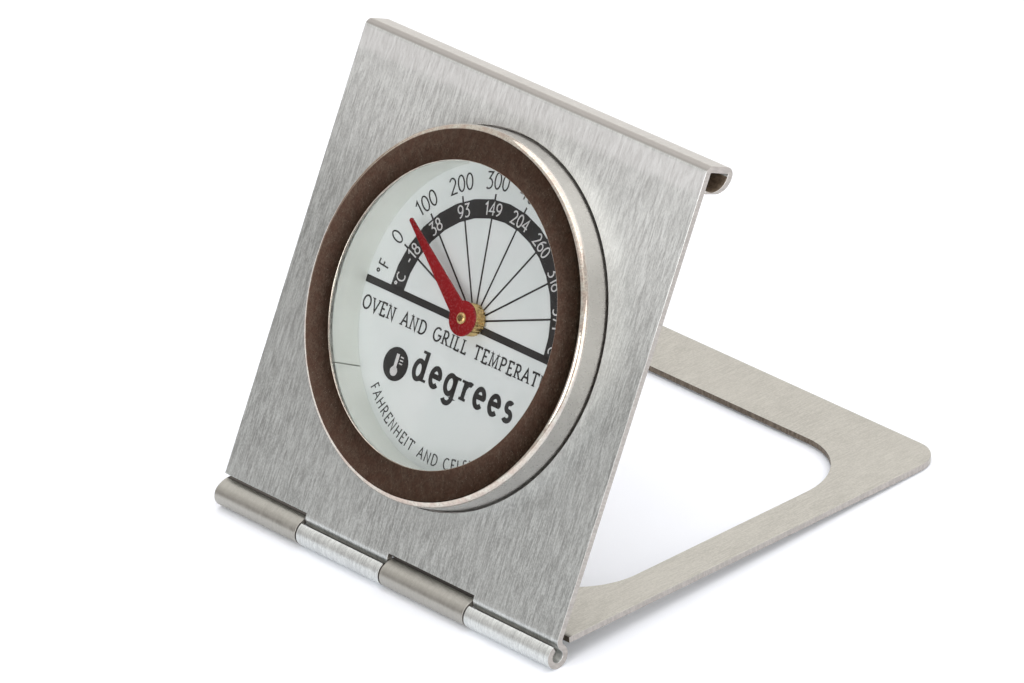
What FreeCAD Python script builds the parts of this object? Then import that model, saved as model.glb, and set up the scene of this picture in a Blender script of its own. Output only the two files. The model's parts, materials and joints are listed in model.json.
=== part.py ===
"""Folding oven thermometer: a round bimetal dial head held in a sheet metal plate, which is hinged to
an open sheet metal stand.

Millimetres. +X runs along the hinge to the right, +Y to the back and +Z up. The origin is on the surface
that the thermometer stands on, under the middle of its bounding box. The plate's sub-parts are drawn in
the plate's own axes (X along the hinge, Y up the plate, Z out of its front), the stand's in the same axes
laid nearly flat, and the head's in the plate's axes with their origin at the centre of the dial on the
plate's front face.
"""

import FreeCAD, Part
import math
import os
import types

import Sketcher

LEFT = 1
RIGHT = -1

# Driving sizes, in millimetres and degrees.
DRIVING = {
    # Sheet metal and hinge
    "plate_width": 75.0,
    "sheet_gauge": 1.0,
    "barrel_radius": 2.0,
    "knuckle_gap": 0.3,
    "pin_radius": 0.95,
    "pin_recess": 1.5,
    "pin_chamfer": 0.2,
    # Front plate: heights are along the plate from the hinge's axis
    "plate_lean": 60.25,
    "plate_top": 76.03,
    "plate_foot": 3.0,
    "plate_face": 1.08,
    "plate_bend_radius": 1.25,
    "plate_curl_end": -312.0,
    "hole_radius": 29.1,
    # Rolled edge along the top of the plate
    "hem_slope": 5.0,
    "hem_crease": 1.1,
    "hem_depth": 5.72,
    "hem_nose": 1.4,
    "hem_drop": 1.1,
    "hem_belly": 2.9,
    "hem_tail_slope": 7.0,
    "hem_tail_gap": 0.05,
    "hem_tail_tip": 0.6,
    # Stand: depths are along the stand from the hinge's axis
    "stand_depth": 80.0,
    "stand_front": 2.4,
    "stand_bend_radius": 3.75,
    "stand_bend_start": 120,
    "stand_curl_end": 327,
    "front_rail": 10.3,
    "side_rail": 6.75,
    "back_rail": 10.6,
    "opening_round": 12.0,
    "stand_corner": 5.0,
    # Dial head: heights are from the front face of the plate
    "head_height": 40.2,
    "bezel_front": 4.8,
    "shell_radius": 28.8,
    "shell_gauge": 0.5,
    "shell_round": 1.0,
    "window_radius": 23.2,
    "crimp_reach": 2.4,
    "crimp_round": 0.45,
    "stack_radius": 28.2,
    "gasket_bore": 24.4,
    "gasket_gauge": 0.4,
    "lens_gauge": 1.5,
    "spacer_bore": 23.9,
    "spacer_gauge": 0.5,
    "spacer_depth": 5.7,
    "spacer_split_angle": 215.0,
    "spacer_split": 0.2,
    "dial_gauge": 0.5,
    "dial_bore": 1.2,
    "pan_radius": 24.0,
    "pan_back": -9.1,
    "pan_round": 1.5,
    # Ring that holds the head in the plate
    "ring_bore": 28.82,
    "ring_radius": 30.8,
    "ring_gauge": 0.6,
    "collar_radius": 29.3,
    "collar_depth": 2.3,
    # Pointer and its shaft
    "pointer_rest_angle": 147.0,
    "pointer_base": -0.75,
    "pointer_gauge": 0.35,
    "pointer_length": 19.2,
    "pointer_disc": 2.7,
    "pointer_root": 1.4,
    "pointer_tip": 0.35,
    "pointer_tip_round": 0.5,
    "hub_radius": 2.5,
    "hub_base": -3.0,
    "hub_groove": 0.2,
    "hub_groove_count": 30.0,
    "shaft_radius": 0.6,
    "shaft_back": -8.95,
    "shaft_press": 0.01,
    "shaft_running": 0.05,
    "shaft_head_radius": 0.9,
    "shaft_head_rise": 0.2,
    "shaft_head_dome": 0.25,
    "shaft_head_round": 0.8,
    "shaft_head_flat": 0.35,
    # Bimetal movement
    "coil_gauge": 0.25,
    "coil_pitch": 1.3,
    "coil_half_turns": 11.0,
    "coil_front": -5.7,
    "coil_back": -7.7,
    "coil_tail": 1.5,
    "coil_clearance": 0.02,
    "collet_radius": 1.8,
    "collet_front": -5.4,
    "collet_back": -7.9,
    "post_width": 1.6,
    "post_front": -5.5,
    "bridge_width": 7.0,
    "bridge_gauge": 0.6,
    "bridge_front": -4.1,
    "bridge_leg": 11.0,
    "bridge_reach": 16.0,
    "rivet_place": 13.5,
    "rivet_radius": 1.0,
    "rivet_head": 1.8,
    "rivet_head_height": 0.5,
    "bush_radius": 1.3,
    "bush_flange": 1.9,
    "bush_flange_gauge": 0.4,
    "rear_bush_back": -9.5,
    "rear_bush_floor": -9.0,
}


def derived(given):
    """The sizes that follow from the driving ones."""
    size = types.SimpleNamespace(**given)
    found = types.SimpleNamespace()
    found.barrel_bore = size.barrel_radius - size.sheet_gauge
    found.knuckle_length = (size.plate_width - 3 * size.knuckle_gap) / 4
    found.knuckle_pitch = found.knuckle_length + size.knuckle_gap
    middle = size.barrel_radius - size.sheet_gauge / 2

    # The stand's sheet leaves the barrel by a wider bend, whose centre lies off the hinge's axis.
    offset = size.stand_bend_radius - middle
    bend = math.radians(size.stand_bend_start)
    found.stand_bend_depth = -offset * math.cos(bend)
    found.stand_bend_height = -offset * math.sin(bend)
    found.stand_lift = size.stand_bend_radius + found.stand_bend_height - size.sheet_gauge / 2

    # The stand tilts until both its barrel and its back edge touch the ground.
    diagonal = math.hypot(size.stand_depth, found.stand_lift)
    tilt = math.asin(size.barrel_radius / diagonal) + math.atan2(found.stand_lift, size.stand_depth)
    found.stand_tilt = math.degrees(tilt)
    back = size.stand_depth * math.cos(tilt) + (found.stand_lift + size.sheet_gauge) * math.sin(tilt)
    found.hinge_depth = (size.barrel_radius - back) / 2

    # The plate's sheet leaves the front of the barrel by an S-bend tangent to both.
    face_middle = size.plate_face - size.sheet_gauge / 2
    across = size.plate_bend_radius - face_middle
    found.plate_bend_height = math.sqrt((size.plate_bend_radius + middle) ** 2 - across ** 2)
    found.plate_bend_out = -across
    found.plate_curl_start = math.degrees(math.atan2(-across, found.plate_bend_height))

    # Heights of the head's stack, from the front face of the plate to the back.
    found.lens_front = size.bezel_front - size.shell_gauge - size.gasket_gauge
    found.spacer_front = found.lens_front - size.lens_gauge
    found.dial_front = found.spacer_front - size.spacer_depth
    found.dial_back = found.dial_front - size.dial_gauge
    found.flange_back = found.dial_back - size.shell_gauge
    found.shell_back = found.flange_back - size.shell_gauge
    found.pan_floor = size.pan_back + size.shell_gauge
    return vars(found)


class Size:
    """A number, with the expression that ties it to the sheet of sizes."""

    def __init__(self, number, text):
        self.number = number
        self.text = text

    def joined(self, other, symbol, number):
        return Size(number, f"({self.text} {symbol} {as_size(other).text})")

    def __add__(self, other):
        return self.joined(other, "+", self.number + as_size(other).number)

    def __sub__(self, other):
        return self.joined(other, "-", self.number - as_size(other).number)

    def __mul__(self, other):
        return self.joined(other, "*", self.number * as_size(other).number)

    def __truediv__(self, other):
        return self.joined(other, "/", self.number / as_size(other).number)

    def __rsub__(self, other):
        return as_size(other) - self

    def __rmul__(self, other):
        return as_size(other) * self

    def __neg__(self):
        return as_size(-1) * self


def as_size(value):
    return value if isinstance(value, Size) else Size(float(value), f"({float(value)!r})")


def cosine(angle):
    return Size(math.cos(math.radians(angle.number)), f"cos({angle.text} * 1 deg)")


def sine(angle):
    return Size(math.sin(math.radians(angle.number)), f"sin({angle.text} * 1 deg)")


def polar(radius, angle, centre=(0, 0)):
    """The point at that radius and angle about a centre."""
    return radius * cosine(angle) + centre[0], radius * sine(angle) + centre[1]


doc = FreeCAD.newDocument("oven_thermometer")
sheet = doc.addObject("Spreadsheet::Sheet", "sizes")
ALL_SIZES = {**DRIVING, **derived(DRIVING)}
for row, (alias, number) in enumerate(ALL_SIZES.items(), start=1):
    sheet.set(f"B{row}", repr(number))
    sheet.setAlias(f"B{row}", alias)
doc.recompute()
size = types.SimpleNamespace(**{alias: Size(number, f"sizes.{alias}") for alias, number in ALL_SIZES.items()})

HALF_WIDTH = size.plate_width / 2
HINGE = FreeCAD.Vector(0, size.hinge_depth.number, size.barrel_radius.number)
ZERO = as_size(0)
subparts = []


def new_body(label):
    body = doc.addObject("PartDesign::Body", label)
    body.Label = label
    subparts.append(body)
    return body


def sketch_on(body, role, lift=ZERO):
    """A new sketch on one of the body's own planes, moved along the plane's normal by lift."""
    sketch = body.newObject("Sketcher::SketchObject", f"{body.Label}_sketch")
    plane = next(feature for feature in body.Origin.OriginFeatures if feature.Role == role)
    sketch.AttachmentSupport = [(plane, "")]
    sketch.MapMode = "FlatFace"
    sketch.AttachmentOffset = FreeCAD.Placement(FreeCAD.Vector(0, 0, lift.number), FreeCAD.Rotation())
    sketch.setExpression("AttachmentOffset.Base.z", lift.text)
    return sketch


def constrain(sketch, kind, *ends, to):
    index = sketch.addConstraint(Sketcher.Constraint(kind, *ends, to.number))
    sketch.setExpression(f"Constraints[{index}]", to.text)


def draw(sketch, corners):
    """A closed outline through the corners. A straight side leads to a corner (x, y), and an arc of under
    half a turn leads to a corner (x, y, radius, side), where side is LEFT or RIGHT as the arc turns."""
    corners = [tuple(as_size(value) for value in corner) for corner in corners]
    sides = []
    for index, corner in enumerate(corners):
        before = corners[index - 1]
        start = FreeCAD.Vector(before[0].number, before[1].number, 0)
        end = FreeCAD.Vector(corner[0].number, corner[1].number, 0)
        if len(corner) == 2:
            sides.append((sketch.addGeometry(Part.LineSegment(start, end), False), 1, 2))
            continue
        radius, turn = corner[2], corner[3].number
        chord = end - start
        rise = math.sqrt(radius.number ** 2 - chord.Length ** 2 / 4)
        across = FreeCAD.Vector(-chord.y, chord.x, 0).normalize()
        centre = (start + end) / 2 + across * (turn * rise)
        first, last = (start, end) if turn == LEFT else (end, start)
        angles = [math.atan2(point.y - centre.y, point.x - centre.x) for point in (first, last)]
        if angles[1] < angles[0]:
            angles[1] += 2 * math.pi
        circle = Part.Circle(centre, FreeCAD.Vector(0, 0, 1), radius.number)
        arc = sketch.addGeometry(Part.ArcOfCircle(circle, *angles), False)
        sides.append((arc, 1, 2) if turn == LEFT else (arc, 2, 1))
    for index, corner in enumerate(corners):
        side, _, end = sides[index]
        following, start, _ = sides[(index + 1) % len(sides)]
        sketch.addConstraint(Sketcher.Constraint("Coincident", side, end, following, start))
        constrain(sketch, "DistanceX", -1, 1, side, end, to=corner[0])
        constrain(sketch, "DistanceY", -1, 1, side, end, to=corner[1])
        if len(corner) == 4:
            constrain(sketch, "Radius", side, to=corner[2])


def rectangle(sketch, low, high):
    draw(sketch, [low, (high[0], low[1]), high, (low[0], high[1])])


def circle(sketch, radius, x=ZERO, y=ZERO):
    shape = Part.Circle(FreeCAD.Vector(x.number, y.number, 0), FreeCAD.Vector(0, 0, 1), radius.number)
    index = sketch.addGeometry(shape, False)
    constrain(sketch, "DistanceX", -1, 1, index, 3, to=x)
    constrain(sketch, "DistanceY", -1, 1, index, 3, to=y)
    constrain(sketch, "Radius", index, to=radius)


def feature(body, kind, sketch, length):
    """A Pad or a Pocket of one sketch, as deep as length."""
    made = body.newObject(f"PartDesign::{kind}", f"{body.Label}_{kind.lower()}")
    made.Profile = sketch
    made.Length = length.number
    made.setExpression("Length", length.text)
    return made


def pad(body, sketch, length):
    return feature(body, "Pad", sketch, length)


def pocket(body, sketch, length):
    """Cuts against the sketch's normal, and makes sure that it cut something."""
    doc.recompute()
    before = body.Shape.Volume
    made = feature(body, "Pocket", sketch, length)
    doc.recompute()
    if not body.Shape.Volume < before - 1e-4:
        raise RuntimeError(f"{body.Label}: a pocket cuts nothing")
    return made


def revolve(body, sketch):
    made = body.newObject("PartDesign::Revolution", f"{body.Label}_revolution")
    made.Profile = sketch
    made.ReferenceAxis = (sketch, ["V_Axis"])
    made.Angle = 360.0
    return made


def row_of_two(body, original, spacing):
    """Repeats a pad once more, further along X."""
    pattern = body.newObject("PartDesign::LinearPattern", f"{body.Label}_row")
    pattern.Originals = [original]
    axis = next(entry for entry in body.Origin.OriginFeatures if entry.Role == "X_Axis")
    pattern.Direction = (axis, [""])
    pattern.Length = spacing.number
    pattern.setExpression("Length", spacing.text)
    pattern.Occurrences = 2
    body.Tip = pattern
    return pattern


def place(part, along=0.0, out=0.0, lean=0.0, spin=0.0):
    """Puts a sub-part's own origin that far up and out of a plane through the hinge's axis that leans
    by lean from the horizontal, and turns the sub-part by spin about its own Z."""
    tilt = FreeCAD.Rotation(FreeCAD.Vector(1, 0, 0), lean)
    turn = FreeCAD.Rotation(FreeCAD.Vector(0, 0, 1), spin)
    part.Placement = FreeCAD.Placement(HINGE + tilt.multVec(FreeCAD.Vector(0, along, out)), tilt * turn)


def place_in_head(part, spin=0.0):
    place(part, size.head_height.number, size.plate_face.number, size.plate_lean.number, spin)


def turned(label, corners):
    """A body of the head: one outline of radii and heights, turned about the dial's axis."""
    body = new_body(label)
    sketch = sketch_on(body, "XZ_Plane")
    draw(sketch, corners)
    revolve(body, sketch)
    place_in_head(body)
    return body


def washer(label, bore, radius, low, high):
    """A plain ring of the head."""
    return turned(label, [(bore, low), (radius, low), (radius, high), (bore, high)])


def disc(label, radius, low, high, bore=None):
    """A flat disc of the head, with or without a hole in its middle."""
    body = new_body(label)
    sketch = sketch_on(body, "XY_Plane", low)
    circle(sketch, radius)
    if bore is not None:
        circle(sketch, bore)
    pad(body, sketch, high - low)
    place_in_head(body)
    return body


# Hinged sheet metal


def knuckle_start(number):
    """Where one of the four knuckles begins along X, counted from 0 at the left."""
    return number * size.knuckle_pitch - HALF_WIDTH


def stand_frame():
    """The stand: a flat frame round an open middle, with two knuckles curled from its front edge."""
    body = new_body("stand_frame")
    flat = sketch_on(body, "XY_Plane", size.stand_lift)
    corner, front, back = size.stand_corner, size.stand_front, size.stand_depth
    draw(flat, [
        (-HALF_WIDTH, front),
        (HALF_WIDTH, front),
        (HALF_WIDTH, back - corner),
        (HALF_WIDTH - corner, back, corner, LEFT),
        (corner - HALF_WIDTH, back),
        (-HALF_WIDTH, back - corner, corner, LEFT),
    ])
    inner = HALF_WIDTH - size.side_rail
    near, far = size.front_rail, size.stand_depth - size.back_rail
    bend = size.opening_round
    draw(flat, [
        (bend - inner, near, bend, LEFT),
        (inner - bend, near),
        (inner, near + bend, bend, LEFT),
        (inner, far - bend),
        (inner - bend, far, bend, LEFT),
        (bend - inner, far),
        (-inner, far - bend, bend, LEFT),
        (-inner, near + bend),
    ])
    pad(body, flat, size.sheet_gauge)

    curl = sketch_on(body, "YZ_Plane", knuckle_start(0))
    half = size.sheet_gauge / 2
    centre = (size.stand_bend_depth, size.stand_bend_height)
    inside, outside = size.stand_bend_radius - half, size.stand_bend_radius + half
    start, end = size.stand_bend_start, size.stand_curl_end
    middle = (start + end) / 2
    bore, barrel = size.barrel_bore, size.barrel_radius
    draw(curl, [
        (front, size.stand_lift),
        (centre[0], size.stand_lift),
        (*polar(inside, start, centre), inside, LEFT),
        (*polar(bore, middle), bore, LEFT),
        (*polar(bore, end), bore, LEFT),
        polar(barrel, end),
        (*polar(barrel, middle), barrel, RIGHT),
        (*polar(barrel, start), barrel, RIGHT),
        (centre[0], size.stand_lift + size.sheet_gauge, outside, RIGHT),
        (front, size.stand_lift + size.sheet_gauge),
    ])
    knuckle = pad(body, curl, size.knuckle_length)
    row_of_two(body, knuckle, 2 * size.knuckle_pitch)
    place(body, lean=-size.stand_tilt.number)


def hem_outline():
    """The plate's section from its foot to the rolled edge along its top, whose tail thins to a tip."""
    slope, tail = size.hem_slope, size.hem_tail_slope
    rise, run = sine(slope), cosine(slope)
    gauge, nose, belly = size.sheet_gauge, size.hem_nose, size.hem_belly
    depth, drop, crease = size.hem_depth, size.hem_drop, size.hem_crease
    nose_back = depth - nose
    nose_up = (nose_back * rise - nose) / run
    inner_back = depth - gauge
    half_crease = (90 - slope) / 2
    crease_radius = crease * cosine(half_crease) / sine(half_crease)

    tail_start = (depth - belly + belly * sine(tail), -drop - belly * cosine(tail))
    tail_end = gauge + size.hem_tail_gap
    tail_low = tail_start[1] - (tail_start[0] - tail_end) * sine(tail) / cosine(tail)
    tail_high = tail_low + size.hem_tail_tip
    inner_width, inner_height = inner_back - tail_end, -drop - tail_high
    inner_radius = (inner_width * inner_width + inner_height * inner_height) / (inner_width * 2)

    def under_strip(back):
        """How high the underside of the top strip is, that far behind the plate's front face."""
        return (back * rise - gauge) / run

    low = size.plate_foot - size.plate_top
    behind_and_up = [
        (ZERO, low),
        (ZERO, -crease),
        (crease * run, crease * rise, crease_radius, RIGHT),
        (nose_back - nose * rise, nose_up + nose * run),
        (depth, nose_up, nose, RIGHT),
        (depth, -drop),
        (*tail_start, belly, RIGHT),
        (tail_end, tail_low),
        (tail_end, tail_high),
        (inner_back, -drop, inner_radius, LEFT),
        (inner_back, under_strip(inner_back)),
        (gauge, under_strip(gauge)),
        (gauge, low),
    ]
    return [(size.plate_top + up, size.plate_face - back, *arc) for back, up, *arc in behind_and_up]


def front_plate():
    """The plate: rolled at its top, with a round hole for the head and two knuckles at its foot."""
    body = new_body("front_plate")
    section = sketch_on(body, "YZ_Plane", -HALF_WIDTH)
    draw(section, hem_outline())
    pad(body, section, size.plate_width)

    face, back = size.plate_face, size.plate_face - size.sheet_gauge
    curl = sketch_on(body, "YZ_Plane", knuckle_start(1))
    half = size.sheet_gauge / 2
    bore, barrel = size.barrel_bore, size.barrel_radius
    start, end = size.plate_curl_start, size.plate_curl_end
    third, two_thirds = (start * 2 + end) / 3, (start + end * 2) / 3
    inside, outside = size.plate_bend_radius - half, size.plate_bend_radius + half
    draw(curl, [
        (size.plate_foot, face),
        (size.plate_bend_height, face),
        (*polar(bore, start), outside, LEFT),
        (*polar(bore, third), bore, RIGHT),
        (*polar(bore, two_thirds), bore, RIGHT),
        (*polar(bore, end), bore, RIGHT),
        polar(barrel, end),
        (*polar(barrel, two_thirds), barrel, LEFT),
        (*polar(barrel, third), barrel, LEFT),
        (*polar(barrel, start), barrel, LEFT),
        (size.plate_bend_height, back, inside, RIGHT),
        (size.plate_foot, back),
    ])
    row_of_two(body, pad(body, curl, size.knuckle_length), 2 * size.knuckle_pitch)

    hole = sketch_on(body, "XY_Plane", face)
    circle(hole, size.hole_radius, y=size.head_height)
    pocket(body, hole, size.sheet_gauge)
    place(body, lean=size.plate_lean.number)


def hinge_pin():
    """The pin through all four knuckles, a little short at both ends."""
    body = new_body("hinge_pin")
    sketch = sketch_on(body, "YZ_Plane", size.pin_recess - HALF_WIDTH)
    circle(sketch, size.pin_radius)
    rod = pad(body, sketch, size.plate_width - 2 * size.pin_recess)
    doc.recompute()
    ends = [f"Edge{number}" for number, edge in enumerate(rod.Shape.Edges, start=1) if edge.isClosed()]
    chamfer = body.newObject("PartDesign::Chamfer", "hinge_pin_chamfer")
    chamfer.Base = (rod, ends)
    chamfer.Size = size.pin_chamfer.number
    chamfer.setExpression("Size", size.pin_chamfer.text)
    place(body, lean=size.plate_lean.number)


# Dial head


def bezel_shell():
    """The drawn ring round the window, whose back edge is crimped over the flange of the case back."""
    radius, gauge, front, back = size.shell_radius, size.shell_gauge, size.bezel_front, size.shell_back
    edge, fold = size.shell_round, size.crimp_round
    turned("bezel_shell", [
        (size.window_radius, front),
        (radius - edge, front),
        (radius, front - edge, edge, RIGHT),
        (radius, back + fold),
        (radius - fold, back, fold, RIGHT),
        (radius - size.crimp_reach, back),
        (radius - size.crimp_reach, back + gauge),
        (radius - gauge, back + gauge),
        (radius - gauge, front - edge),
        (radius - edge, front - gauge, edge - gauge, LEFT),
        (size.window_radius, front - gauge),
    ])


def spacer_ring():
    """The ring that holds the lens off the dial, bent to an L and split where its ends meet."""
    bore, wall = size.spacer_bore, size.spacer_bore + size.spacer_gauge
    front, back, outer = size.spacer_front, size.dial_front, size.stack_radius
    body = turned("spacer_ring", [
        (bore, back),
        (wall, back),
        (wall, front - size.spacer_gauge),
        (outer, front - size.spacer_gauge),
        (outer, front),
        (bore, front),
    ])
    split = sketch_on(body, "XY_Plane", front)
    half = size.spacer_split / 2
    rectangle(split, (size.window_radius, -half), (size.shell_radius, half))
    pocket(body, split, size.spacer_depth)
    place_in_head(body, spin=size.spacer_split_angle.number)


def case_back():
    """The pan that closes the head from behind, with holes for the rear bush and the bridge's rivets."""
    radius, gauge, edge = size.pan_radius, size.shell_gauge, size.pan_round
    back, floor = size.pan_back, size.pan_floor
    body = turned("case_back", [
        (size.bush_radius, back),
        (radius - edge, back),
        (radius, back + edge, edge, LEFT),
        (radius, size.flange_back),
        (size.stack_radius, size.flange_back),
        (size.stack_radius, size.dial_back),
        (radius - gauge, size.dial_back),
        (radius - gauge, back + edge),
        (radius - edge, floor, edge - gauge, RIGHT),
        (size.bush_radius, floor),
    ])
    holes = sketch_on(body, "XY_Plane", floor)
    for side in (-1, 1):
        circle(holes, size.rivet_radius, x=side * size.rivet_place)
    pocket(body, holes, gauge)


def mounting_ring():
    """The ring behind the plate: its flange lies on the plate, its collar holds the shell."""
    front = -size.sheet_gauge
    under = front - size.ring_gauge
    turned("mounting_ring", [
        (size.ring_bore, front),
        (size.ring_bore, front - size.collar_depth),
        (size.collar_radius, front - size.collar_depth),
        (size.collar_radius, under),
        (size.ring_radius, under),
        (size.ring_radius, front),
    ])


# Pointer and movement


def pointer():
    """The needle: a disc and a blade that tapers to its tip, drawn along X and turned to its reading."""
    body = new_body("pointer")
    sketch = sketch_on(body, "XY_Plane", size.pointer_base)
    disc_radius, root, tip, length = size.pointer_disc, size.pointer_root, size.pointer_tip, size.pointer_length
    root_angle = Size(
        math.degrees(math.asin(root.number / disc_radius.number)),
        f"(asin({root.text} / {disc_radius.text}) / 1 deg)",
    )
    root_out = disc_radius * cosine(root_angle)
    draw(sketch, [
        (root_out, -root, disc_radius, LEFT),
        (length, -tip),
        (length, tip, size.pointer_tip_round, LEFT),
        (root_out, root),
        (-disc_radius, ZERO, disc_radius, LEFT),
    ])
    circle(sketch, size.shaft_radius + size.shaft_press)
    pad(body, sketch, size.pointer_gauge)
    place_in_head(body, spin=size.pointer_rest_angle.number)


def pointer_hub():
    """The brass hub under the pointer, knurled round its edge."""
    bore = size.shaft_radius + size.shaft_press
    body = washer("pointer_hub", bore, size.hub_radius, size.hub_base, size.pointer_base)
    groove = sketch_on(body, "XY_Plane", size.pointer_base)
    deep, wide = size.hub_radius - size.hub_groove, size.hub_groove
    draw(groove, [(deep, ZERO), (size.hub_radius + wide, -2 * wide), (size.hub_radius + wide, 2 * wide)])
    cut = pocket(body, groove, size.pointer_base - size.hub_base)
    knurl = body.newObject("PartDesign::PolarPattern", "pointer_hub_knurl")
    knurl.Originals = [cut]
    axis = next(entry for entry in body.Origin.OriginFeatures if entry.Role == "Z_Axis")
    knurl.Axis = (axis, [""])
    knurl.Angle = 360.0
    knurl.Occurrences = int(size.hub_groove_count.number)
    knurl.setExpression("Occurrences", size.hub_groove_count.text)
    body.Tip = knurl
    place_in_head(body, spin=size.pointer_rest_angle.number)


def pointer_shaft():
    """The shaft that carries the pointer, riveted over at its front end."""
    front = size.pointer_base + size.pointer_gauge
    shoulder = front + size.shaft_head_rise
    turned("pointer_shaft", [
        (ZERO, size.shaft_back),
        (size.shaft_radius, size.shaft_back),
        (size.shaft_radius, front),
        (size.shaft_head_radius, front),
        (size.shaft_head_radius, shoulder),
        (size.shaft_head_flat, shoulder + size.shaft_head_dome, size.shaft_head_round, LEFT),
        (ZERO, shoulder + size.shaft_head_dome),
    ])


def coil_radius():
    """The middle of the bimetal strip on its first half turn."""
    return size.collet_radius + size.coil_clearance + size.coil_gauge / 2


def bimetal_coil():
    """The bimetal strip: a flat spiral of half circles whose centres alternate, and a straight tail."""
    first, pitch, half = coil_radius().number, size.coil_pitch.number, size.coil_gauge.number / 2
    height = size.coil_back.number
    count = int(size.coil_half_turns.number)

    def side(offset):
        """One long side of the strip, as far from its middle as offset."""
        edges = []
        for turn in range(count):
            radius = first + turn * pitch / 2 + offset
            centre = pitch / 2 if turn % 2 else 0.0
            way = -1 if turn % 2 else 1
            points = [
                FreeCAD.Vector(centre + way * radius, 0, height),
                FreeCAD.Vector(centre, way * radius, height),
                FreeCAD.Vector(centre - way * radius, 0, height),
            ]
            edges.append(Part.Arc(*points).toShape())
        return edges, points[-1]

    inner, inner_end = side(-half)
    outer, outer_end = side(half)
    down = FreeCAD.Vector(0, -size.coil_tail.number, 0)
    ends = [
        Part.makeLine(inner_end, inner_end + down),
        Part.makeLine(inner_end + down, outer_end + down),
        Part.makeLine(outer_end + down, outer_end),
        Part.makeLine(FreeCAD.Vector(first - half, 0, height), FreeCAD.Vector(first + half, 0, height)),
    ]
    boundary = Part.Wire(Part.__sortEdges__(inner + outer + ends))
    strip = Part.Face(boundary).extrude(FreeCAD.Vector(0, 0, size.coil_front.number - height))
    made = doc.addObject("Part::Feature", "bimetal_coil")
    made.Label = "bimetal_coil"
    made.Shape = strip
    place_in_head(made)
    subparts.append(made)


def anchor_post():
    """The post on the floor of the pan that the coil's tail is welded to."""
    body = new_body("anchor_post")
    sketch = sketch_on(body, "XY_Plane", size.pan_floor)
    reach = coil_radius() + (size.coil_half_turns - 1) * size.coil_pitch / 2 + size.coil_gauge / 2
    rectangle(sketch, (-reach - size.post_width, -size.coil_tail), (-reach, ZERO))
    pad(body, sketch, size.post_front - size.pan_floor)
    place_in_head(body)


def movement_bridge():
    """The strap over the coil that carries the front bush, with a foot riveted to the pan at each end."""
    body = new_body("movement_bridge")
    section = sketch_on(body, "XZ_Plane", -size.bridge_width / 2)
    floor, gauge, front = size.pan_floor, size.bridge_gauge, size.bridge_front
    leg, reach = size.bridge_leg, size.bridge_reach
    draw(section, [
        (-reach, floor),
        (gauge - leg, floor),
        (gauge - leg, front - gauge),
        (leg - gauge, front - gauge),
        (leg - gauge, floor),
        (reach, floor),
        (reach, floor + gauge),
        (leg, floor + gauge),
        (leg, front),
        (-leg, front),
        (-leg, floor + gauge),
        (-reach, floor + gauge),
    ])
    pad(body, section, size.bridge_width)
    bush = sketch_on(body, "XY_Plane", front)
    circle(bush, size.bush_radius)
    pocket(body, bush, gauge)
    rivets = sketch_on(body, "XY_Plane", floor + gauge)
    for side in (-1, 1):
        circle(rivets, size.rivet_radius, x=side * size.rivet_place)
    pocket(body, rivets, gauge)
    place_in_head(body)


def front_bearing():
    """The bush in the bridge."""
    bore = size.shaft_radius + size.shaft_running
    under = size.bridge_front - size.bridge_gauge
    turned("front_bearing", [
        (bore, size.bridge_front),
        (bore, under - size.bush_flange_gauge),
        (size.bush_flange, under - size.bush_flange_gauge),
        (size.bush_flange, under),
        (size.bush_radius, under),
        (size.bush_radius, size.bridge_front),
    ])


def rear_bearing():
    """The closed bush in the back of the pan."""
    bore = size.shaft_radius + size.shaft_running
    front = size.pan_floor + size.bush_flange_gauge
    turned("rear_bearing", [
        (ZERO, size.rear_bush_back),
        (size.bush_radius, size.rear_bush_back),
        (size.bush_radius, size.pan_floor),
        (size.bush_flange, size.pan_floor),
        (size.bush_flange, front),
        (bore, front),
        (bore, size.rear_bush_floor),
        (ZERO, size.rear_bush_floor),
    ])


def bridge_rivets():
    """The two rivets through the bridge's feet and the pan."""
    under, over = size.pan_back, size.pan_floor + size.bridge_gauge
    made = []
    for side in (-1, 1):
        pieces = []
        for radius, low, high in (
            (size.rivet_radius, under, over),
            (size.rivet_head, under - size.rivet_head_height, under),
            (size.rivet_head, over, over + size.rivet_head_height),
        ):
            piece = doc.addObject("Part::Cylinder", "rivet_piece")
            piece.setExpression("Radius", radius.text)
            piece.setExpression("Height", (high - low).text)
            piece.setExpression("Placement.Base.x", (side * size.rivet_place).text)
            piece.setExpression("Placement.Base.z", low.text)
            pieces.append(piece)
        rivet = doc.addObject("Part::MultiFuse", "rivet")
        rivet.Shapes = pieces
        made.append(rivet)
    group = doc.addObject("Part::Compound", "bridge_rivets")
    group.Label = "bridge_rivets"
    group.Links = made
    place_in_head(group)
    subparts.append(group)


def check_and_export():
    """Recomputes everything, stops at a failed or broken object, and writes one file for each sub-part."""
    doc.recompute()
    for item in doc.Objects:
        if "Invalid" in item.State or "Error" in item.State:
            raise RuntimeError(f"{item.Label} failed: {item.State}")
    for part in subparts:
        if part.Shape.isNull() or not part.Shape.isValid():
            raise RuntimeError(f"{part.Label} has a broken shape")
        if not part.Shape.Solids:
            raise RuntimeError(f"{part.Label} has no solid")
    os.makedirs("parts", exist_ok=True)
    for part in subparts:
        part.Shape.exportStep(f"parts/{part.Label}.step")
        print(f"{part.Label}: {len(part.Shape.Solids)} solid(s), {part.Shape.Volume:.2f} mm3")


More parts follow.
